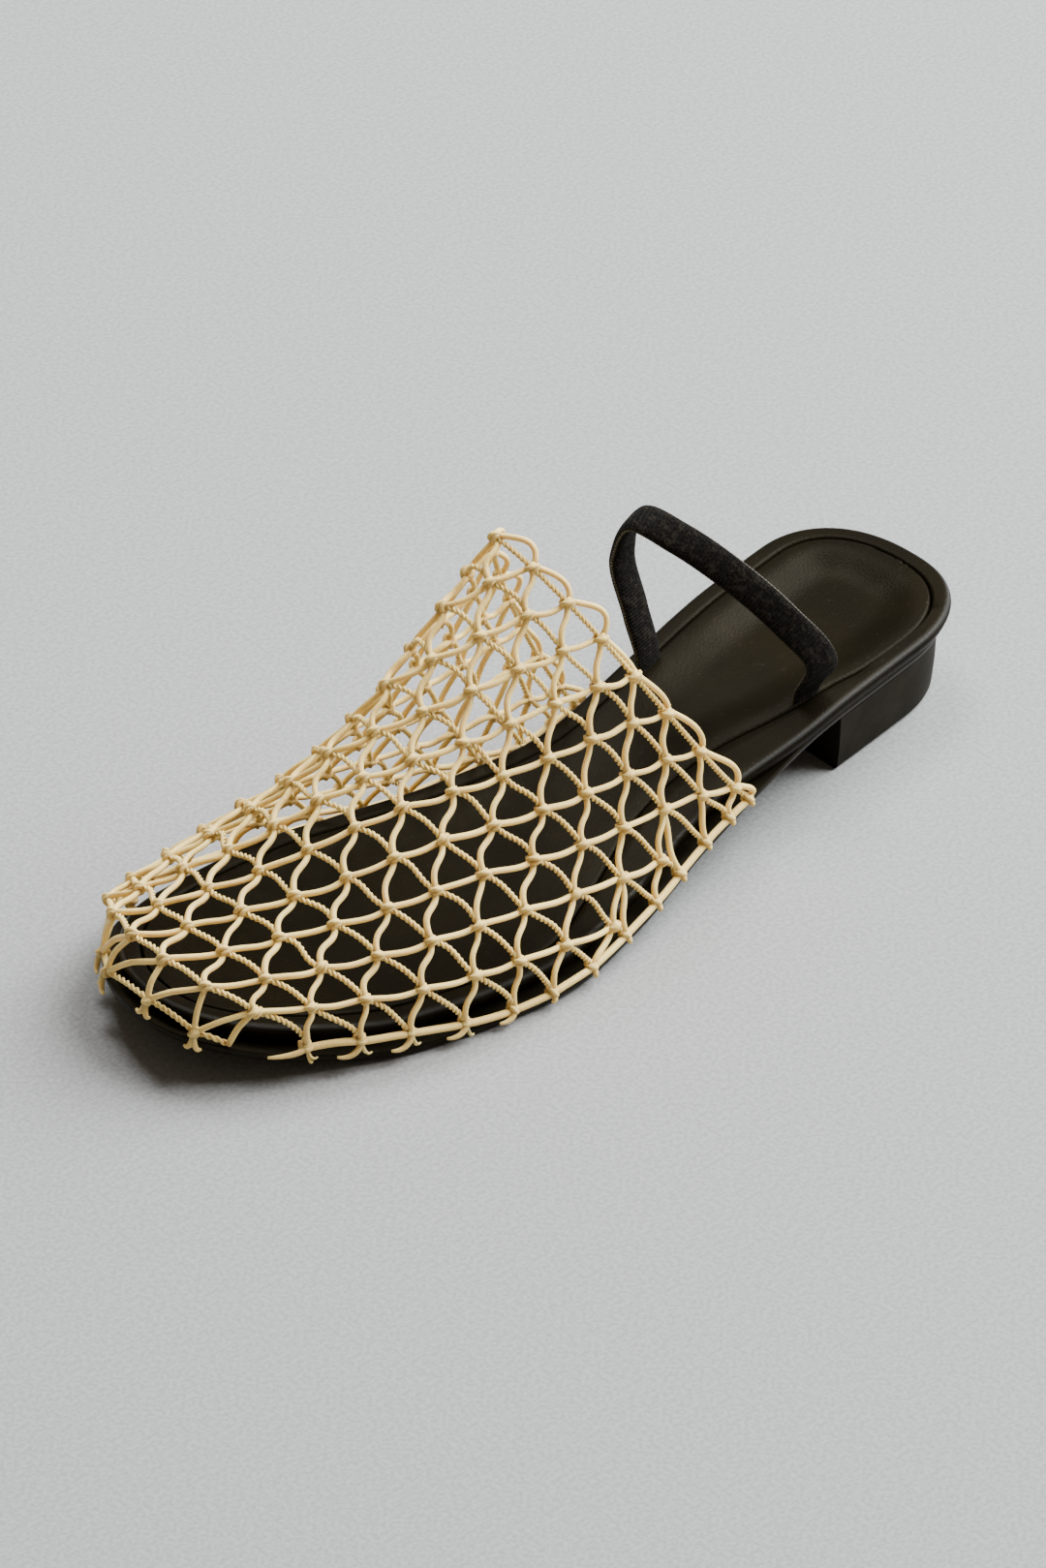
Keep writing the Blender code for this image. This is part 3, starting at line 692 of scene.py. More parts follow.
class NetSurface:
    """The net's middle surface, by row and by the share of a row from its inner to its outer foot."""

    def __init__(self):
        rows = np.arange(0, NET_ROWS + ROW_STEP / 2, ROW_STEP)
        curves, ridges = zip(*(row_curve(row) for row in rows))
        runs = [run_of(curve) for curve in curves]
        self.lengths = np.array([run[-1] for run in runs])
        self.ridges = np.array([run[ridge] for run, ridge in zip(runs, ridges)])
        self.rows = rows
        shares = np.linspace(0, 1, SHARE_STEPS + 1)
        self.grid = np.array([at_run(curve, shares * total) for curve, total in zip(curves, self.lengths)])
        forward = np.gradient(self.grid, axis=0)
        across = np.gradient(self.grid, axis=1)
        self.forward = unit(forward)
        self.across = unit(across)
        self.normal = unit(np.cross(forward, across))

    def sample(self, field, row, share):
        """A field of the surface between the points of its grid."""
        u = np.clip(np.asarray(row, float) / ROW_STEP, 0, len(self.rows) - 1 - LAST_CELL)
        v = np.clip(np.asarray(share, float) * SHARE_STEPS, 0, SHARE_STEPS - LAST_CELL)
        i = u.astype(int)
        j = v.astype(int)
        a = (u - i)[..., None]
        b = (v - j)[..., None]
        near = field[i, j] * (1 - b) + field[i, j + 1] * b
        far = field[i + 1, j] * (1 - b) + field[i + 1, j + 1] * b
        return near * (1 - a) + far * a

    def point(self, row, share):
        return self.sample(self.grid, row, share)

    def normal_at(self, row, share):
        return unit(self.sample(self.normal, row, share))

    def stand(self, row, share):
        """The point and the outward direction at a place of the surface."""
        return self.point(row, share), self.normal_at(row, share)

    def spans(self, row):
        """A row's length, and the length of it from its inner foot to the ridge."""
        return np.interp(row, self.rows, self.lengths), np.interp(row, self.rows, self.ridges)

    def off_ridge(self, row, share):
        """Distance from the ridge of a place on the surface."""
        length, ridge = self.spans(row)
        return share * length - ridge

    def share(self, row, off_ridge):
        """Share of a row at a distance from the ridge."""
        length, ridge = self.spans(row)
        return np.clip((off_ridge + ridge) / length, 0, 1)

    def ends(self, row):
        """Places of a row's lowest knots in the flat net, as distances from the ridge."""
        length, ridge = self.spans(row)
        rise = read(EDGE_RISES, "height", row)
        flat = column(TOE_SPREAD, "flat")
        laid = flat + (column(TOE_SPREAD, "laid") - flat) * ramp(row, TOE_ROWS)
        return tuple(np.interp(end, laid, flat) for end in (rise - ridge, length - ridge - rise))

    def lay(self, row, off_ridge):
        """Row and share of a place in the flat net, given by its row and its distance from the ridge."""
        row = np.asarray(row, float)
        toe = ramp(row, TOE_ROWS)
        spread = np.interp(off_ridge, column(TOE_SPREAD, "flat"), column(TOE_SPREAD, "laid"))
        off = off_ridge + (spread - off_ridge) * toe
        pull = read(ROW_WARPS, "pull", row)
        push = read(ROW_WARPS, "push", row)
        lift = TOE_LIFT * toe * np.exp(-(((off - TOE_LIFT_PLACE) / TOE_LIFT_REACH) ** 2))
        laid = np.clip(row - pull + push * (off / SIDE_REACH) ** 2 - lift, 0, NET_ROWS)
        return laid, self.share(row, off)


SURFACE = NetSurface()


def net_rows(pitch):
    """Distances from the ridge of each row's knots: both edges, and between them an even, staggered net."""
    reach = math.sqrt(pitch / MESH_STRETCH)
    step = math.sqrt(pitch * MESH_STRETCH)
    most = int(NET_REACH * math.pi / 2 / step)
    rows = []
    for row in range(NET_ROWS + 1):
        inner, outer = SURFACE.ends(row)
        shift = STAGGER * (row % 2 == 0) + read(ROW_SHIFTS, "meshes", row)
        knots = reach * np.tan((np.arange(-most, most) + shift) * step)
        knots = knots[(knots > inner + EDGE_ROOM) & (knots < outer - EDGE_ROOM)]
        rows.append(np.concatenate([[inner], knots, [outer]]))
    return rows


def net_links(rows):
    """Looped cords between neighbouring rows, as (front row, its knot, the knot nearer the collar)."""
    links = []
    for row, (upper, lower) in enumerate(zip(rows, rows[1:])):
        i = 0
        j = 0
        while i < len(upper) - 1 or j < len(lower) - 1:
            if j == len(lower) - 1 or (i < len(upper) - 1 and upper[i + 1] <= lower[j + 1] + LINK_SLACK):
                i += 1
            else:
                j += 1
            links.append((row + 1, lower[j], upper[i]))
        links.pop()
    return links


def bezier(p0, p1, p2, p3, count):
    """Points of a cubic curve."""
    t = np.linspace(0, 1, count)[:, None]
    return p0 * (1 - t) ** 3 + 3 * p1 * t * (1 - t) ** 2 + 3 * p2 * t * t * (1 - t) + p3 * t**3


# A tube's last field is the painted shade along the cord
Tube = namedtuple("Tube", "path normal radius crease")


def fan(tip, first, second):
    """Faces from a tip to pairs of corners, with the last corner given twice."""
    return np.stack([np.full_like(first, tip), first, second, second], -1)


class TubeMesh:
    """Collects round cords and turns them into one mesh with lengthwise UVs and a value of painted shade at
    each point.
    """

    def __init__(self, ring):
        self.ring = ring
        self.vertices = []
        self.faces = []
        self.uvs = []
        self.painted_lights = []
        self.count = 0

    def add(self, tube):
        path = np.asarray(tube.path, float)
        steps = len(path)
        radius, crease = (np.broadcast_to(value, (steps,)) for value in (tube.radius, tube.crease))
        tangent = unit(np.gradient(path, axis=0))
        normal = unit(tube.normal - tangent * np.sum(tube.normal * tangent, axis=1, keepdims=True))
        side = np.cross(tangent, normal)
        turn = np.linspace(0, math.tau, self.ring, endpoint=False)
        around = np.cos(turn)[None, :, None] * normal[:, None] + np.sin(turn)[None, :, None] * side[:, None]
        rings = path[:, None] + radius[:, None, None] * around
        tips = path[[0, -1]] + tangent[[0, -1]] * radius[[0, -1], None] * CAP_BULGE * [[-1], [1]]
        self.vertices.append(np.concatenate([rings.reshape(-1, 3), tips]))
        near = np.arange(self.ring)
        far = near + (steps - 1) * self.ring
        tip = steps * self.ring
        start = fan(tip, near, np.roll(near, -1))
        end = fan(tip + 1, np.roll(far, -1), far)
        self.faces.append(np.concatenate([tube_quads(steps, self.ring), start, end]) + self.count)
        along = run_of(path)
        spots = np.stack([np.repeat(along, self.ring), np.tile(turn / math.tau, steps)], 1)
        self.uvs.append(np.concatenate([spots, [[along[0], 0.5], [along[-1], 0.5]]]))
        self.painted_lights.append(np.concatenate([np.repeat(crease, self.ring), crease[[0, -1]]]))
        self.count += tip + 2

    def build(self, name, finish):
        vertices, faces, uvs, painted_lights = map(
            np.concatenate, (self.vertices, self.faces, self.uvs, self.painted_lights)
        )
        return mesh_piece(name, vertices, faces.tolist(), finish, uvs, painted_lights)


def mesh_piece(name, points, faces, finish, uvs=None, painted_lights=None, sharp=None):
    """A shaded mesh from points in millimetres, on the shoe's one body. Repeated corners are left out."""
    mesh = bpy.data.meshes.new(name)
    mesh.from_pydata(to_frame(points).tolist(), [], [list(dict.fromkeys(face)) for face in faces])
    if uvs is not None:
        layer = mesh.uv_layers.new(name="lengthwise")
        corner = np.zeros(len(mesh.loops), dtype=np.int32)
        mesh.loops.foreach_get("vertex_index", corner)
        layer.data.foreach_set("uv", uvs[corner].astype(np.float32).ravel())
    # The points' values of painted shade and painted highlight go into one attribute
    if painted_lights is not None:
        attribute = mesh.attributes.new("crease", "FLOAT", "POINT")
        attribute.data.foreach_set("value", painted_lights.astype(np.float32))
    build = bmesh.new()
    build.from_mesh(mesh)
    loose = [vertex for vertex in build.verts if not vertex.link_faces]
    bmesh.ops.delete(build, geom=loose, context="VERTS")
    bmesh.ops.recalc_face_normals(build, faces=build.faces)
    build.to_mesh(mesh)
    build.free()
    mesh.materials.append(finish)
    mesh.shade_smooth()
    if sharp is not None:
        mesh.set_sharp_from_angle(angle=math.radians(sharp))
    piece = bpy.data.objects.new(name, mesh)
    bpy.context.scene.collection.objects.link(piece)
    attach(piece, "root")
    return piece


def arithmetic(operation, swapped=False):
    """A method that adds one Math node for an operator, with its two values swapped if it is reflected."""
    def combine(self, other):
        values = [other, self] if swapped else [self, other]
        return self.shade.node("ShaderNodeMath", {"operation": operation}, values)
    return combine


class Wire:
    """A socket of a material's nodes that can be reckoned with as a number."""

    def __init__(self, shade, socket):
        self.shade = shade
        self.socket = socket

    __add__ = __radd__ = arithmetic("ADD")
    __mul__ = __rmul__ = arithmetic("MULTIPLY")
    __sub__ = arithmetic("SUBTRACT")
    __rsub__ = arithmetic("SUBTRACT", swapped=True)

    def math(self, operation):
        """A Math node on this value alone."""
        return self.shade.node("ShaderNodeMath", {"operation": operation}, [self])

    def wave(self):
        """A sine wave of this angle, from 0 to 1."""
        return self.math("SINE") * 0.5 + 0.5

    def limited(self):
        """The value held between 0 and 1."""
        return self.shade.node("ShaderNodeClamp", {}, [self])

    def stepped(self, low, high):
        """A soft step from 0 to 1 between two values."""
        return self.shade.node("ShaderNodeMapRange", {"interpolation_type": "SMOOTHSTEP"}, [self, low, high])


class Shade:
    """One material and the nodes that make its finish."""

    def __init__(self, name):
        self.material = bpy.data.materials.new(name)
        self.material.use_nodes = True
        self.tree = self.material.node_tree
        self.shader = self.tree.nodes["Principled BSDF"]

    def node(self, kind, settings, values, output=0):
        """Adds a node: its settings first, then values or links for its sockets, by place or by name."""
        made = self.tree.nodes.new(kind)
        for name, value in settings.items():
            setattr(made, name, value)
        pairs = values.items() if isinstance(values, dict) else enumerate(values)
        for socket, value in pairs:
            self.feed(made.inputs[socket], value)
        return Wire(self, made.outputs[output])

    def feed(self, socket, value):
        if isinstance(value, Wire):
            self.tree.links.new(value.socket, socket)
        else:
            socket.default_value = value

    def constant(self, **values):
        """Sets the shader's own sockets to values that are the same all over."""
        for name, value in values.items():
            self.shader.inputs[name.replace("_", " ")].default_value = value

    def link(self, name, value):
        self.feed(self.shader.inputs[name], value)

    def place(self):
        """Places in the row frame, in metres."""
        return self.node("ShaderNodeTexCoord", {}, [], output="Object")

    def lengthwise(self):
        """Distance along a cord in millimetres, and the share of the way round it."""
        spot = self.node("ShaderNodeUVMap", {"uv_map": "lengthwise"}, [])
        along = self.node("ShaderNodeSeparateXYZ", {}, [spot], output="X")
        around = self.node("ShaderNodeSeparateXYZ", {}, [spot], output="Y")
        return along, around

    def vector(self, x, y, z):
        return self.node("ShaderNodeCombineXYZ", {}, [x, y, z])

    # Reads the painted shade and painted highlight that the mesh's points carry
    def crease(self):
        return self.node("ShaderNodeAttribute", {"attribute_name": "crease"}, [], output="Fac")

    def noise(self, where, pattern):
        """A pattern of noise, sharpened by its soft step if it has one."""
        values = {"Scale": pattern.scale, "Detail": pattern.detail, "Roughness": pattern.roughness}
        cloud = self.node("ShaderNodeTexNoise", {}, {"Vector": where, **values})
        return cloud.stepped(*pattern.step) if pattern.step else cloud

    def cells(self, where, scale, feature="F1"):
        return self.node("ShaderNodeTexVoronoi", {"feature": feature}, {"Vector": where, "Scale": scale})

    def mix(self, share, first, second):
        """A colour between two others."""
        sockets = {"Factor": share, MIX_COLOURS[0]: first, MIX_COLOURS[1]: second}
        return self.node("ShaderNodeMix", {"data_type": "RGBA"}, sockets, output=MIX_RESULT)

    def tones(self, share, colour, gains):
        """A colour between a darker and a lighter tone of it."""
        return self.mix(share, *(rgba(colour, gain) for gain in gains))

    def bump(self, height, strength, distance):
        """Relief from a height, given in shares of a distance in metres."""
        values = {"Strength": strength, "Distance": distance, "Height": height}
        self.link("Normal", self.node("ShaderNodeBump", {}, values))


def rgba(colour, gain=1.0):
    return (colour[0] * gain, colour[1] * gain, colour[2] * gain, 1.0)


def cord_finish(name, net, twist_marks):
    """Waxed natural cord: pale straw, with painted shade, brown, in knots and creases, and fibres along it.
    """
    shade = Shade(name)
    along, around = shade.lengthwise()
    place = shade.place()
    patches = shade.noise(place, CORD_PATCHES)
    lines = shade.vector(along * FIBRE_STRETCH[0], around * FIBRE_STRETCH[1], 0.0)
    fibres = shade.noise(lines, CORD_FIBRES)
    specks = shade.noise(place, CORD_SPECKS)
    groove = ((along * (1.0 / CORD_TWIST) + around) * math.tau).wave()
    worn = (patches * 0.55 + fibres * 0.45).stepped(*CORD_WEAR)
    clean = shade.tones(worn, net.cord_colour, CORD_TONES)
    # Painted shade in the knots and creases, together with real dark specks
    knot_shade_and_specks = (shade.crease() * 0.80 + specks.stepped(*SPECK_STEP) * 0.22).limited()
    shade.link("Base Color", shade.mix(knot_shade_and_specks, clean, rgba(net.shade_colour)))
    shade.link("Roughness", 0.62 - worn * 0.14 + shade.crease() * 0.12)
    shade.bump(fibres * 0.5 + groove * twist_marks + specks * 0.2, strength=0.55, distance=0.00022)
    shade.constant(Specular_IOR_Level=0.22, Subsurface_Weight=0.55)
    shade.constant(Subsurface_Radius=(1.0, 0.85, 0.62), Subsurface_Scale=0.0008)
    return shade.material


def leather_finish(name, sole, gloss):
    """Black leather: fine pebbled grain, dull hollows, a soft worn sheen, and a painted highlight where the
    mesh marks one.
    """
    shade = Shade(name)
    place = shade.place()
    grain = shade.cells(place, 1.0 / sole.grain_size, "DISTANCE_TO_EDGE").stepped(*PEBBLE_EDGE)
    pores = shade.noise(place, LEATHER_PORES)
    rubbed = shade.noise(place, LEATHER_RUBBING)
    dust = shade.noise(place, LEATHER_DUST)
    edge = shade.crease()
    tone = shade.tones(rubbed, sole.leather_colour, LEATHER_TONES)
    dusty = shade.mix(dust * 0.12, tone, DUST_COLOUR)
    # Painted highlight: a lighter colour along the border's outer edge, where the mesh marks it
    shade.link("Base Color", shade.mix(edge, dusty, PAINTED_EDGE_HIGHLIGHT))
    shade.link("Roughness", gloss - rubbed * 0.08 + pores * 0.10 - edge * 0.12)
    shade.bump(grain * 0.7 + pores * 0.5, strength=0.35, distance=0.00012)
    shade.constant(IOR=1.18, Specular_IOR_Level=0.25, Specular_Tint=WARM_SHINE)
    return shade.material


def rubber_finish(name, sole, gloss):
    """Black rubber: satin, faintly mottled, with a fine buffed texture, and a painted highlight line where
    the mesh marks one.
    """
    shade = Shade(name)
    place = shade.place()
    mottled = shade.noise(place, RUBBER_MOTTLE)
    buffed = shade.noise(place, RUBBER_BUFFING)
    scuffs = shade.noise(place, RUBBER_SCUFFS)
    tone = shade.tones(mottled, sole.rubber_colour, RUBBER_TONES)
    scuffed = shade.mix(scuffs * 0.10, tone, SCUFF_COLOUR)
    # Painted highlight: a lighter line low on the outsole's side, where the mesh marks it
    shade.link("Base Color", shade.mix(shade.crease(), scuffed, PAINTED_EDGE_HIGHLIGHT))
    shade.link("Roughness", gloss + buffed * 0.14 - mottled * 0.06)
    shade.bump(buffed, strength=0.30, distance=0.00010)
    shade.constant(Specular_IOR_Level=0.12, Specular_Tint=WARM_SHINE)
    return shade.material


def elastic_finish(name, strap):
    """Black woven elastic: ribs across it, strongest along its edges, a mottled weave, and a painted
    highlight along both edges.
    """
    shade = Shade(name)
    along, around = shade.lengthwise()
    rib = (along * (math.tau * MM / strap.rib_pitch)).wave()
    flank = (around * (2 * math.tau)).math("COSINE")
    edge = flank.stepped(*STRAP_EDGE)
    # Painted highlight along both edges of the strap, varying with the ribs
    rim_highlight = flank.stepped(*STRAP_PAINTED_HIGHLIGHT_EDGE) * (0.45 + rib * 0.55)
    weave = shade.cells(shade.vector(along * WEAVE_STRETCH[0], around * WEAVE_STRETCH[1], 0.0), 1.0)
    mottle = shade.noise(shade.place(), WEAVE_MOTTLE)
    thread = (rib * (0.35 + edge * 0.65) + weave * 0.35).limited()
    pale = (thread * 0.35 + mottle * 0.55 + edge * 0.30).limited()
    tone = shade.tones(pale, strap.elastic_colour, ELASTIC_TONES)
    shade.link("Base Color", shade.mix(rim_highlight, tone, STRAP_PAINTED_HIGHLIGHT))
    shade.link("Roughness", 0.86 - thread * 0.14)
    shade.bump(thread + mottle * 0.25, strength=1.0, distance=0.00045)
    shade.constant(Specular_IOR_Level=0.10, Sheen_Weight=0.01, Sheen_Roughness=0.45)
    return shade.material


def floor_finish(name, stage):
    """A pale matt floor with fine grit and the faintest unevenness."""
    shade = Shade(name)
    place = shade.place()
    cloud = shade.noise(place, FLOOR_CLOUD)
    grit = shade.noise(place, FLOOR_GRIT)
    mottle = cloud * 0.2 + grit.stepped(*GRIT_STEP) * 0.8
    shade.link("Base Color", shade.tones(mottle, stage.floor_colour, FLOOR_TONES))
    shade.link("Roughness", 0.80 + grit * 0.10)
    shade.bump(grit, strength=0.12, distance=0.0004)
    shade.constant(Specular_IOR_Level=0.25)
    return shade.material


def near_profile(profile, place, width):
    """1 on the rings of a sole at one place of its profile, and 0 away from it."""
    off = np.linalg.norm(profile - np.array(place), axis=1)
    return np.repeat(np.exp(-((off / width) ** 2)), len(SOLE_LOOP))


class SANDAL_OT_outsole(bpy.types.Operator):
    """Make the thin rubber outsole"""

    bl_idname = "sandal.outsole"
    bl_label = "Outsole"

    def execute(self, context):
        profile = np.array(rounded(OUTSOLE_PROFILE))
        rings = [sole_ring(OUTSOLE_SETBACK, inset, height) for inset, height in profile]
        vertices, faces = stacked(rings, 0)
        # Painted highlight line low on the outsole's side, fading out towards the forefoot
        line = near_profile(profile, SOLE_HIGHLIGHT, SOLE_HIGHLIGHT_WIDTH) * (1 - ramp(vertices[:, 0], SOLE_HIGHLIGHT_END))
        finish = rubber_finish("outsole_rubber", context.scene.sandal_sole, OUTSOLE_GLOSS)
        piece = mesh_piece("outsole_shell", vertices, faces, finish, painted_lights=line, sharp=OUTSOLE_SHARP)
        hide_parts("outsole")
        return {"FINISHED"}


class SANDAL_OT_heel_block(bpy.types.Operator):
    """Make the low block heel"""

    bl_idname = "sandal.heel_block"
    bl_label = "Heel block"

    def execute(self, context):
        rings = [heel_ring(inset, height) for inset, height in rounded(HEEL_BLOCK_PROFILE)]
        vertices, faces = stacked(rings, HEEL_STEPS)
        finish = rubber_finish("heel_rubber", context.scene.sandal_sole, HEEL_GLOSS)
        piece = mesh_piece("heel_shell", vertices, faces, finish, sharp=HEEL_SHARP)
        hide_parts("heel_block")
        return {"FINISHED"}


class SANDAL_OT_midsole(bpy.types.Operator):
    """Make the wrapped midsole with the border round the footbed"""

    bl_idname = "sandal.midsole"
    bl_label = "Midsole"

    def execute(self, context):
        foot = OUTSOLE_THICKNESS + GAP
        profile = np.array(rounded(MIDSOLE_PROFILE))
        rings = [sole_ring(MIDSOLE_SETBACK, inset, foot + height) for inset, height in profile]
        vertices, faces = stacked(rings, 0)
        # Painted highlight along the border's outer edge
        worn = near_profile(profile, BORDER_HIGHLIGHT, BORDER_HIGHLIGHT_WIDTH)
        finish = leather_finish("border_leather", context.scene.sandal_sole, BORDER_GLOSS)
        piece = mesh_piece("midsole_wrap", vertices, faces, finish, painted_lights=worn, sharp=LEATHER_SHARP)
        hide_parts("midsole")
        return {"FINISHED"}


def pad_surface():
    """The padded footbed: a rolled edge, a cup at the heel and a low arch on the inner side."""
    outer, inner = sides(PAD_LOOP)
    across = np.sin(np.linspace(-math.pi / 2, math.pi / 2, PAD_COLUMNS + 1)) * 0.5 + 0.5
    flat = inner[:, None] * (1 - across[None, :, None]) + outer[:, None] * across[None, :, None]
    spots = flat.reshape(-1, 2)
    gaps = np.linalg.norm(spots[:, None] - PAD_LOOP[None], axis=2).min(axis=1)
    x = spots[:, 0]
    y = spots[:, 1]
    shoulder = np.sqrt(np.clip(1 - (1 - np.clip(gaps / PAD_SHOULDER, 0, 1)) ** 2, 0, 1))
    roll = PAD_ROLL * np.exp(-(((gaps - PAD_ROLL_PLACE) / PAD_ROLL_WIDTH) ** 2))
    cup = read(HEEL_CUP, "depth", x) * ramp(gaps, CUP_WALL)
    arch = ARCH_HEIGHT * np.exp(-(((x - ARCH_PLACE) / ARCH_LENGTH) ** 2)) * ramp(-y, ARCH_SIDE)
    height = PAD_FOOT + (PAD_TOP - PAD_FOOT) * shoulder + roll - cup + arch * shoulder
    top = underside(x) + OUTSOLE_THICKNESS + GAP + height
    return np.column_stack([spots, top]), len(outer), PAD_COLUMNS + 1


class SANDAL_OT_insole(bpy.types.Operator):
    """Make the padded footbed"""

    bl_idname = "sandal.insole"
    bl_label = "Footbed"

    def execute(self, context):
        top, stations, columns = pad_surface()
        grid = np.arange(len(top)).reshape(stations, columns)
        grid[[0, -1]] = grid[[0, -1], :1]
        quads = np.stack([grid[:-1, :-1], grid[1:, :-1], grid[1:, 1:], grid[:-1, 1:]], -1).reshape(-1, 4)
        faces = quads.tolist()
        edge = np.concatenate([grid[:, -1], grid[-2:0:-1, 0]])
        base = top[edge]
        base[:, 2] = underside(base[:, 0]) + OUTSOLE_THICKNESS + GAP + PAD_BASE
        foot = len(top) + np.arange(len(edge))
        faces += np.stack([edge, np.roll(edge, -1), np.roll(foot, -1), foot], -1).tolist()
        faces += ladder(len(top), len(edge), 0)
        finish = leather_finish("footbed_leather", context.scene.sandal_sole, FOOTBED_GLOSS)
        vertices = np.concatenate([top, base])
        piece = mesh_piece("footbed_pad", vertices, faces, finish, sharp=LEATHER_SHARP)
        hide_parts("insole")
        return {"FINISHED"}


def knot_nearness(path):
    """How much painted shade a cord gets: 1 at both ends, where it goes into a knot, and 0 away from them."""
    along = run_of(path)
    gap = np.minimum(along, along[-1] - along)
    return np.clip(1 - gap / KNOT_SHADE_REACH, 0, 1)


class SANDAL_OT_net_rows(bpy.types.Operator):
    """Make the rows of the net, each of two strands twisted together"""

    bl_idname = "sandal.net_rows"
    bl_label = "Net rows"

    def execute(self, context):
        net = context.scene.sandal_net
        random = np.random.default_rng(net.seed)
        strands = TubeMesh(FINE_SIDES)
        radius = net.strand_diameter / MM / 2
        for row, knots in enumerate(net_rows(net.mesh_pitch / MM)):
            distance = np.arange(knots[0], knots[-1], ROPE_STEP)
            wave = np.zeros(len(distance))
            for left, right in zip(knots, knots[1:]):
                here = (distance >= left) & (distance <= right)
                t = (distance[here] - left) / (right - left)
                bow = random.normal(*ROW_BOW) * min((right - left) * MM / net.mesh_pitch, 1.0)
                kink = random.normal(*ROW_KINK)
                wave[here] = np.sin(math.pi * t) * bow + np.sin(math.tau * t) * kink
            path, normal = SURFACE.stand(*SURFACE.lay(row + wave, distance))
            held = SURFACE.point(*SURFACE.lay(row, knots))
            straight = np.stack([np.interp(distance, knots, held[:, k]) for k in range(3)], axis=1)
            taut = TOE_TAUT * ramp(row, TOE_ROWS)
            path = path * (1 - taut) + straight * taut
            side = np.cross(unit(np.gradient(path, axis=0)), normal)
            turn = math.tau * distance * MM / net.twist_length + random.uniform(0, math.tau)
            near = np.abs(distance[:, None] - knots[None]).min(axis=1)
            # Painted shade along the row, darker near its knots
            crease = ROW_SHADE + ROW_KNOT_SHADE * np.clip(1 - near / KNOT_SHADE_REACH, 0, 1)
            for strand in (0.0, math.pi):
                out = np.cos(turn + strand)[:, None] * normal + np.sin(turn + strand)[:, None] * side
                strands.add(Tube(path + out * radius * STRAND_SPREAD, out, radius, crease))
        piece = strands.build("net_rows", cord_finish("row_cord", net, ROW_TWIST_MARKS))
        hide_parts("net_upper")
        return {"FINISHED"}


class SANDAL_OT_net_loops(bpy.types.Operator):
    """Make the looped cords that run to and fro between the rows"""

    bl_idname = "sandal.net_loops"
    bl_label = "Net loops"

    def execute(self, context):
        net = context.scene.sandal_net
        random = np.random.default_rng(net.seed + 1)
        loops = TubeMesh(CORD_SIDES)
        pitch = net.mesh_pitch / MM
        radius = net.cord_diameter / MM / 2
        for row, front, back in net_links(net_rows(pitch)):
            bend = OUTWARD_LOOP if back > front else RIDGEWARD_LOOP
            start, end = (
                np.array([place[0], SURFACE.off_ridge(*place)])
                for place in (SURFACE.lay(row, front), SURFACE.lay(row - 1, back))
            )
            chord = (end - start) / np.array([1.0, pitch])
            fullness = min(abs(chord[1]) / LOOP_FULL_CHORD, 1.0) * pitch
            leave = np.array([0.0, (bend.leave + random.normal(*LOOP_STRAY)) * fullness])
            arrive = np.array([0.0, (bend.arrive + random.normal(*LOOP_STRAY)) * fullness])
            early = start + (end - start + leave) * bend.pull
            late = end - (end - start + arrive) * bend.pull
            flat = bezier(start, early, late, end, LOOP_STEPS)
            path, normal = SURFACE.stand(flat[:, 0], SURFACE.share(flat[:, 0], flat[:, 1]))
            t = np.linspace(0, 1, LOOP_STEPS)
            taut = TOE_TAUT * ramp(row, TOE_ROWS)
            path = path * (1 - taut) + (path[0] + (path[-1] - path[0]) * t[:, None]) * taut
            lift = np.cos(math.pi * t) * LOOP_LIFT + np.sin(math.pi * t) * random.normal(*LOOP_WAVE)
            path = path + normal * lift[:, None]
            loops.add(Tube(path, normal, radius * random.uniform(*CORD_SIZES), knot_nearness(path)))
        piece = loops.build("net_loops", cord_finish("loop_cord", net, LOOP_TWIST_MARKS))
        return {"FINISHED"}


class SANDAL_OT_net_knots(bpy.types.Operator):
    """Make the knots where the looped cords are hitched to the rows"""

    bl_idname = "sandal.net_knots"
    bl_label = "Net knots"

    def execute(self, context):
        net = context.scene.sandal_net
        random = np.random.default_rng(net.seed + 2)
        knots = TubeMesh(FINE_SIDES)
        radius = net.cord_diameter / MM / 2 * KNOT_CORD_SHARE
        for row, distances in enumerate(net_rows(net.mesh_pitch / MM)):
            for distance in distances if row < NET_ROWS else distances[1:-1]:
                place = SURFACE.lay(row, distance)
                centre, out = SURFACE.stand(*place)
                along = unit(SURFACE.sample(SURFACE.across, *place))
                along = unit(along + np.cross(along, out) * random.normal(*KNOT_LEAN))
                down = np.cross(along, out)
                size = random.uniform(*KNOT_SIZES)
                turn = np.linspace(HITCH_TURNS[0] * math.pi, HITCH_TURNS[1] * math.pi, HITCH_STEPS)
                slide = np.linspace(-1, 1, HITCH_STEPS)
                around = np.cos(turn)[:, None] * down + np.sin(turn)[:, None] * out
                hitch = centre + (around * HITCH_RADIUS + slide[:, None] * along * HITCH_LENGTH / 2) * size
                under = np.sin(turn) < HITCH_UNDERSIDE
                # Painted shade on the hitch, more at its ends and on its underside
                crease = HITCH_SHADE + HITCH_END_SHADE * np.abs(slide) + HITCH_UNDER_SHADE * under
                knots.add(Tube(hitch, around, radius, crease))
                t = np.linspace(-1, 1, CROSSING_STEPS)
                rise = HITCH_RADIUS + CROSSING_RISE - CROSSING_FALL * t**2
                way = along * CROSSING_WAY[0] - down * CROSSING_WAY[1]
                cross = centre + (t[:, None] * way + rise[:, None] * out) * size
                # Painted shade at the crossing cord's ends
                crease = CROSSING_SHADE + CROSSING_END_SHADE * np.abs(t)
                knots.add(Tube(cross, np.broadcast_to(out, cross.shape), radius, crease))
        piece = knots.build("net_knots", cord_finish("knot_cord", net, KNOT_TWIST_MARKS))
        return {"FINISHED"}


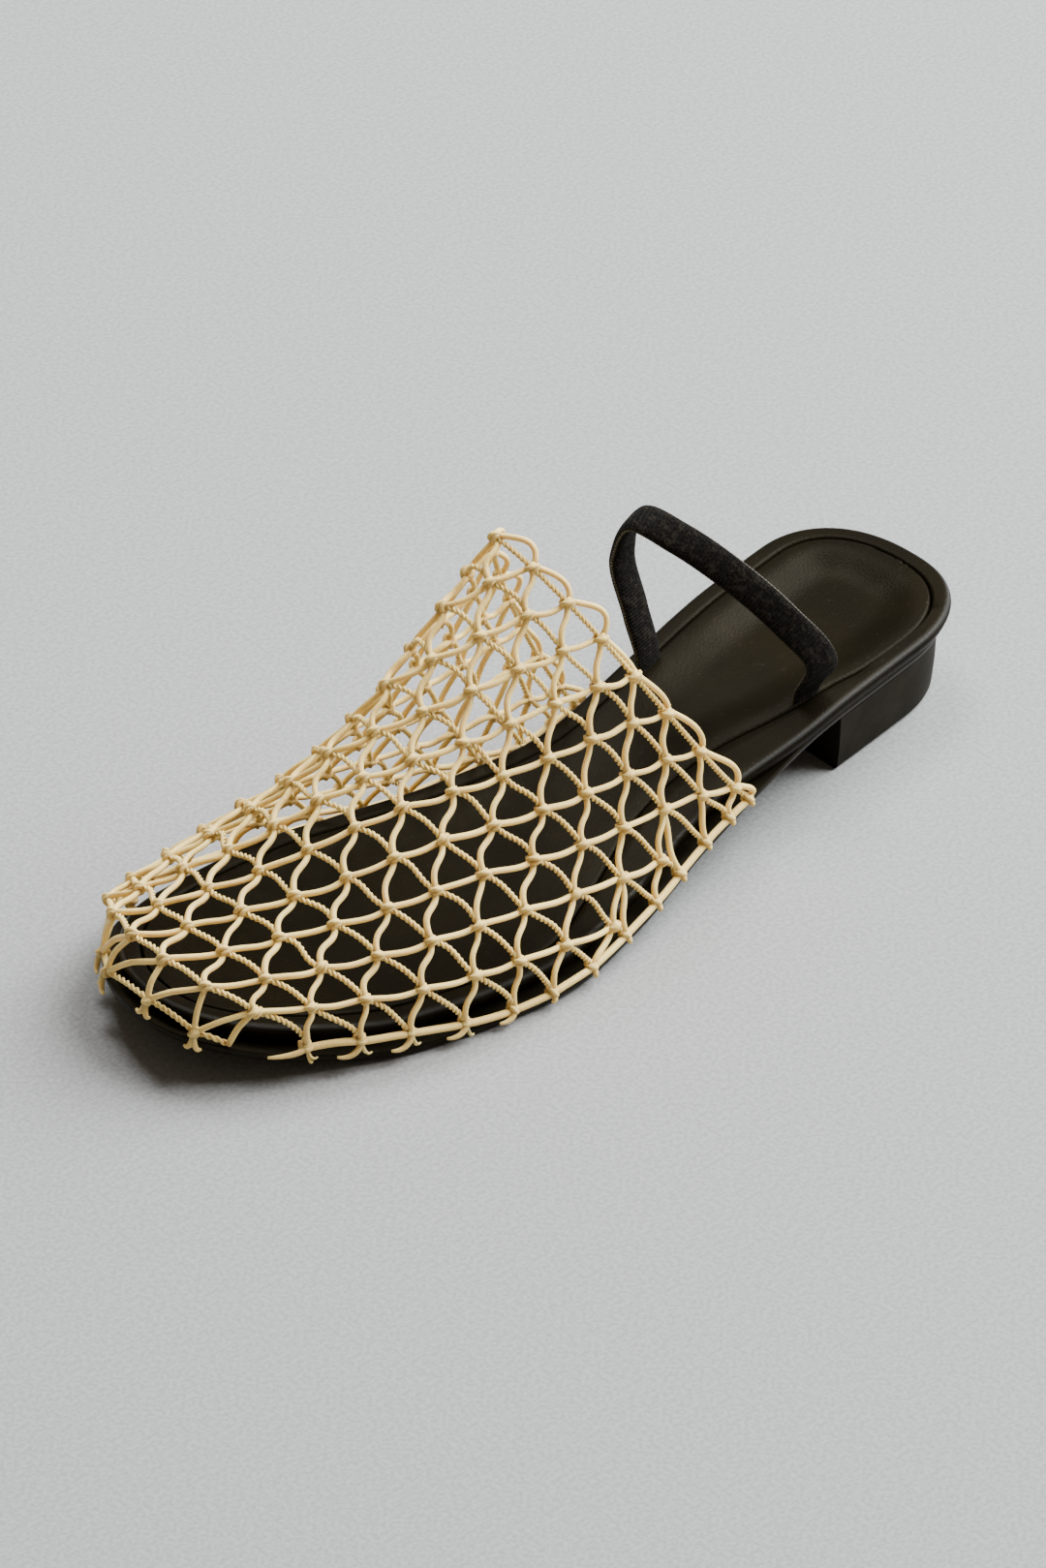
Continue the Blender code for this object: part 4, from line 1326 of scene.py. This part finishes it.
class SANDAL_OT_net_edge(bpy.types.Operator):
    """Make the loops of the collar, the cords along the sole and the tucked ends"""

    bl_idname = "sandal.net_edge"
    bl_label = "Net edges"

    def execute(self, context):
        net = context.scene.sandal_net
        random = np.random.default_rng(net.seed + 3)
        cords = TubeMesh(CORD_SIDES)
        radius = net.cord_diameter / MM / 2
        rows = net_rows(net.mesh_pitch / MM)
        self.scallops(net, rows[0], random, cords, radius)
        for side in (0, -1):
            self.foot_cords(rows, side, random, cords, radius)
        self.cut_ends(net, rows, random, cords, radius)
        piece = cords.build("net_edges", cord_finish("edge_cord", net, LOOP_TWIST_MARKS))
        return {"FINISHED"}

    def scallops(self, net, collar, random, cords, radius):
        """A loop of cord outside each mesh of the collar, fullest towards its lower knot."""
        for left, right in zip(collar, collar[1:]):
            t = np.linspace(0, 1, SCALLOP_STEPS)
            place = SURFACE.lay(0.0, left + (right - left) * t)
            path, normal = SURFACE.stand(*place)
            away = -unit(SURFACE.sample(SURFACE.forward, *place))
            fall = t if left + right > 0 else 1 - t
            below_ridge = int(abs(left + right) / 2 / (net.mesh_pitch / MM))
            height = net.scallop_height / MM * COLLAR_LOOPS[min(below_ridge, len(COLLAR_LOOPS) - 1)]
            bow = np.sin(math.pi * fall ** random.uniform(*SCALLOP_LEANS)) ** random.uniform(*SCALLOP_ROUNDS)
            rise = bow * height * min((right - left) * MM / net.mesh_pitch, 1.0) + SCALLOP_STAND
            tilt = bow * random.normal(*SCALLOP_TILT)
            path = path + away * rise[:, None] + normal * tilt[:, None]
            cords.add(Tube(path, normal, radius, knot_nearness(path)))

    def foot_cords(self, rows, side, random, cords, radius):
        """The cord that runs from knot to knot along the sole."""
        for row in range(NET_ROWS - 1):
            t = np.linspace(0, 1, LOOP_STEPS)
            off_ridge = rows[row][side] * (1 - t) + rows[row + 1][side] * t
            path, normal = SURFACE.stand(*SURFACE.lay(row + t, off_ridge))
            sag = np.sin(math.pi * t) * random.normal(*FOOT_SAG)
            path = path + normal * EDGE_STAND - UP * (EDGE_DROP + sag)[:, None]
            cords.add(Tube(path, normal, radius * EDGE_CORD_GAIN, knot_nearness(path)))

    def cut_ends(self, net, rows, random, cords, radius):
        """Ends under the lowest knots: short at the arch, hooked forward at the ball, in pairs at the toe."""
        hooks = []
        for row, distances in enumerate(rows):
            reach = read(CUT_ENDS, "forward", row)
            drop = read(CUT_ENDS, "drop", row)
            if row < NET_ROWS:
                hooks.append((row, distances[0], reach * INNER_END_SHARE, drop * INNER_END_SHARE, radius))
                hooks.append((row, distances[-1], reach, drop, radius))
            if FIRST_TAILED_ROW <= row < NET_ROWS:
                thin = net.strand_diameter / MM / 2
                hooks += [(row, distances[-1], reach, drop, thin) for reach, drop in ROW_TAILS]
        for distance in rows[-1][1:-1]:
            hooks += [(NET_ROWS, distance, reach, drop, radius) for reach, drop in TOE_ENDS]
        for row, distance, reach, drop, thickness in hooks:
            centre, normal = SURFACE.stand(*SURFACE.lay(row, distance))
            out = unit(normal * LEVEL)
            forward = np.cross(out, UP)
            if row < NET_ROWS and forward[0] < 0:
                forward = -forward
            reach = reach * random.uniform(*END_REACHES)
            drop = drop * random.uniform(*END_DROPS)
            t = np.linspace(0, 1, END_STEPS)
            path = (
                centre
                + out * (END_STAND + END_BULGE * np.sin(math.pi * END_ARCH * t))[:, None]
                + forward * (reach * t**END_HOOK)[:, None]
                - UP * (drop * np.sin(math.pi * END_SWING * t))[:, None]
            )
            taper = thickness * (1 - END_TAPER * t**3)
            # Painted shade, darkest where the end leaves its knot
            crease = END_SHADE - END_SHADE_FALL * t
            cords.add(Tube(path, np.broadcast_to(out, path.shape), taper, crease))


def strap_anchor(x, side):
    """Where a strap end stands in the footbed's groove, and the direction of the edge there."""
    half = sides(border_loop(STRAP_INSET))[side]
    y = np.interp(x, half[:, 0], half[:, 1])
    ahead = np.interp(x + 1.0, half[:, 0], half[:, 1])
    floor = underside(x) + OUTSOLE_THICKNESS + GAP + STRAP_ROOT
    return np.array([x, y, floor]), unit(np.array([1.0, ahead - y, 0.0]))


def spline(points, count):
    """A smooth curve through points, with evenly spread samples."""
    points = np.asarray(points, float)
    run = run_of(points)
    return hermite(run, points, np.gradient(points, run, axis=0), np.linspace(0, run[-1], count))


class SANDAL_OT_strap(bpy.types.Operator):
    """Make the elastic strap"""

    bl_idname = "sandal.strap"
    bl_label = "Strap"

    def execute(self, context):
        strap = context.scene.sandal_strap
        inner_foot, inner_way = strap_anchor(STRAP_INNER_ANCHOR, 1)
        outer_foot, outer_way = strap_anchor(STRAP_OUTER_ANCHOR, 0)
        rise = np.array([0.0, 0.0, STRAP_RISE])
        bends = [np.array([row.x, row.y, row.z]) for row in STRAP_BENDS]
        points = [inner_foot, inner_foot + rise] + bends + [outer_foot + rise, outer_foot]
        leans = [0.0, 0.0] + [row.lean for row in STRAP_BENDS] + [0.0, 0.0]
        path = spline(points, STRAP_STEPS)
        run = run_of(np.array(points))
        at = np.linspace(0, run[-1], STRAP_STEPS)
        lean = np.radians(np.interp(at, run, leans))[:, None]
        tangent = np.gradient(path, axis=0)
        tangent[[0, -1]] = [[0, 0, 1], [0, 0, -1]]
        tangent = unit(tangent)
        share = (at / run[-1])[:, None]
        forward = inner_way * (1 - share) + outer_way * share
        level = unit(forward - tangent * np.sum(forward * tangent, axis=1, keepdims=True))
        wide = level * np.cos(lean) + np.cross(tangent, level) * np.sin(lean)
        thick = np.cross(tangent, wide)
        pinch = ramp(np.minimum(at, run[-1] - at), STRAP_PINCH)
        half = (strap.end_thickness + (strap.thickness - strap.end_thickness) * pinch) / MM / 2
        turn = np.linspace(0, math.tau, STRAP_SIDES, endpoint=False)
        flat = np.sign(np.cos(turn)) * np.abs(np.cos(turn)) ** STRAP_ROUNDING * strap.width / MM / 2
        crown = np.sign(np.sin(turn)) * np.abs(np.sin(turn)) ** STRAP_ROUNDING
        rings = (
            path[:, None]
            + flat[None, :, None] * wide[:, None]
            + (crown[None, :] * half[:, None])[..., None] * thick[:, None]
        )
        ends = np.arange(STRAP_STEPS * STRAP_SIDES).reshape(STRAP_STEPS, STRAP_SIDES)[[0, -1]]
        faces = tube_quads(STRAP_STEPS, STRAP_SIDES).tolist() + ends.tolist()
        uvs = np.stack([np.repeat(run_of(path), STRAP_SIDES), np.tile(turn / math.tau, STRAP_STEPS)], 1)
        finish = elastic_finish("elastic", strap)
        piece = mesh_piece("elastic_strap", rings.reshape(-1, 3), faces, finish, uvs)
        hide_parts("ankle_strap")
        return {"FINISHED"}


class SANDAL_OT_stage(bpy.types.Operator):
    """Make the floor, the lights and the photograph's camera"""

    bl_idname = "sandal.stage"
    bl_label = "Stage"

    def execute(self, context):
        stage = context.scene.sandal_stage
        self.floor(stage)
        self.lights(context.scene, stage)
        self.camera(context.scene)
        return {"FINISHED"}

    def floor(self, stage):
        half = stage.floor_width / 2
        mesh = bpy.data.meshes.new("floor")
        corners = [(-half, -half, 0), (half, -half, 0), (half, half, 0), (-half, half, 0)]
        mesh.from_pydata(corners, [], [(0, 1, 2, 3)])
        mesh.materials.append(floor_finish("floor_paint", stage))
        floor = bpy.data.objects.new("floor", mesh)
        bpy.context.scene.collection.objects.link(floor)

    def lights(self, scene, stage):
        world = bpy.data.worlds.new("studio")
        world.use_nodes = True
        sky = world.node_tree.nodes["Background"]
        sky.inputs["Color"].default_value = SKY_COLOUR
        sky.inputs["Strength"].default_value = stage.sky_strength
        scene.world = world
        back, right, _ = camera_axes()
        level = Vector((back.x, back.y, 0.0)).normalized()
        for lamp in LIGHTS:
            place = level * lamp.near + right * lamp.right + Vector((0, 0, lamp.up))
            data = bpy.data.lights.new(lamp.name, "AREA")
            data.energy = getattr(stage, lamp.power)
            data.size = lamp.size
            data.color = LIGHT_COLOUR
            light = bpy.data.objects.new(lamp.name, data)
            light.location = Vector(LIGHT_TARGET) + place
            light.rotation_mode = "QUATERNION"
            light.rotation_quaternion = (-place).to_track_quat("-Z", "Y")
            scene.collection.objects.link(light)

    def camera(self, scene):
        back, right, up = camera_axes()
        data = bpy.data.cameras.new("photo_camera")
        data.lens = CAMERA_LENS
        data.sensor_width = CAMERA_SENSOR
        camera = bpy.data.objects.new("photo_camera", data)
        eye = Vector(to_frame(CAMERA_TARGET)) + back * CAMERA_DISTANCE * MM
        turn = Matrix((right, up, back)).transposed().to_4x4()
        camera.matrix_world = Matrix.Translation(eye) @ turn
        scene.collection.objects.link(camera)
        scene.camera = camera


def camera_axes():
    """The camera's backward, right and upward directions."""
    a = math.radians(CAMERA_AZIMUTH)
    e = math.radians(CAMERA_ELEVATION)
    back = Vector((math.sin(a) * math.cos(e), -math.cos(a) * math.cos(e), math.sin(e)))
    right = Vector((math.cos(a), math.sin(a), 0.0))
    return back, right, back.cross(right)


OPERATORS = (
    SANDAL_OT_stage,
    SANDAL_OT_outsole,
    SANDAL_OT_heel_block,
    SANDAL_OT_midsole,
    SANDAL_OT_insole,
    SANDAL_OT_strap,
    SANDAL_OT_net_rows,
    SANDAL_OT_net_loops,
    SANDAL_OT_net_knots,
    SANDAL_OT_net_edge,
)
GROUPS = {
    "sandal_sole": SandalSole,
    "sandal_net": SandalNet,
    "sandal_strap": SandalStrap,
    "sandal_stage": SandalStage,
}


class SANDAL_PT_panel(bpy.types.Panel):
    """Lists the sandal's sizes, colours and pieces"""

    bl_idname = "SANDAL_PT_panel"
    bl_label = "Net Sandal"
    bl_space_type = "VIEW_3D"
    bl_region_type = "UI"
    bl_category = "Sandal"

    def draw(self, context):
        for name, group in GROUPS.items():
            box = self.layout.box()
            for key in group.__annotations__:
                box.prop(getattr(context.scene, name), key)
        for operator in OPERATORS:
            self.layout.operator(operator.bl_idname)


def register():
    for group in GROUPS.values():
        bpy.utils.register_class(group)
    for name, group in GROUPS.items():
        setattr(bpy.types.Scene, name, PointerProperty(type=group))
    for operator in OPERATORS:
        bpy.utils.register_class(operator)
    bpy.utils.register_class(SANDAL_PT_panel)


def unregister():
    bpy.utils.unregister_class(SANDAL_PT_panel)
    for operator in reversed(OPERATORS):
        bpy.utils.unregister_class(operator)
    for name in GROUPS:
        delattr(bpy.types.Scene, name)
    for group in GROUPS.values():
        bpy.utils.unregister_class(group)


def main():
    register()
    for operator in OPERATORS:
        group, action = operator.bl_idname.split(".")
        getattr(getattr(bpy.ops, group), action)()


if __name__ == "__main__":
    main()
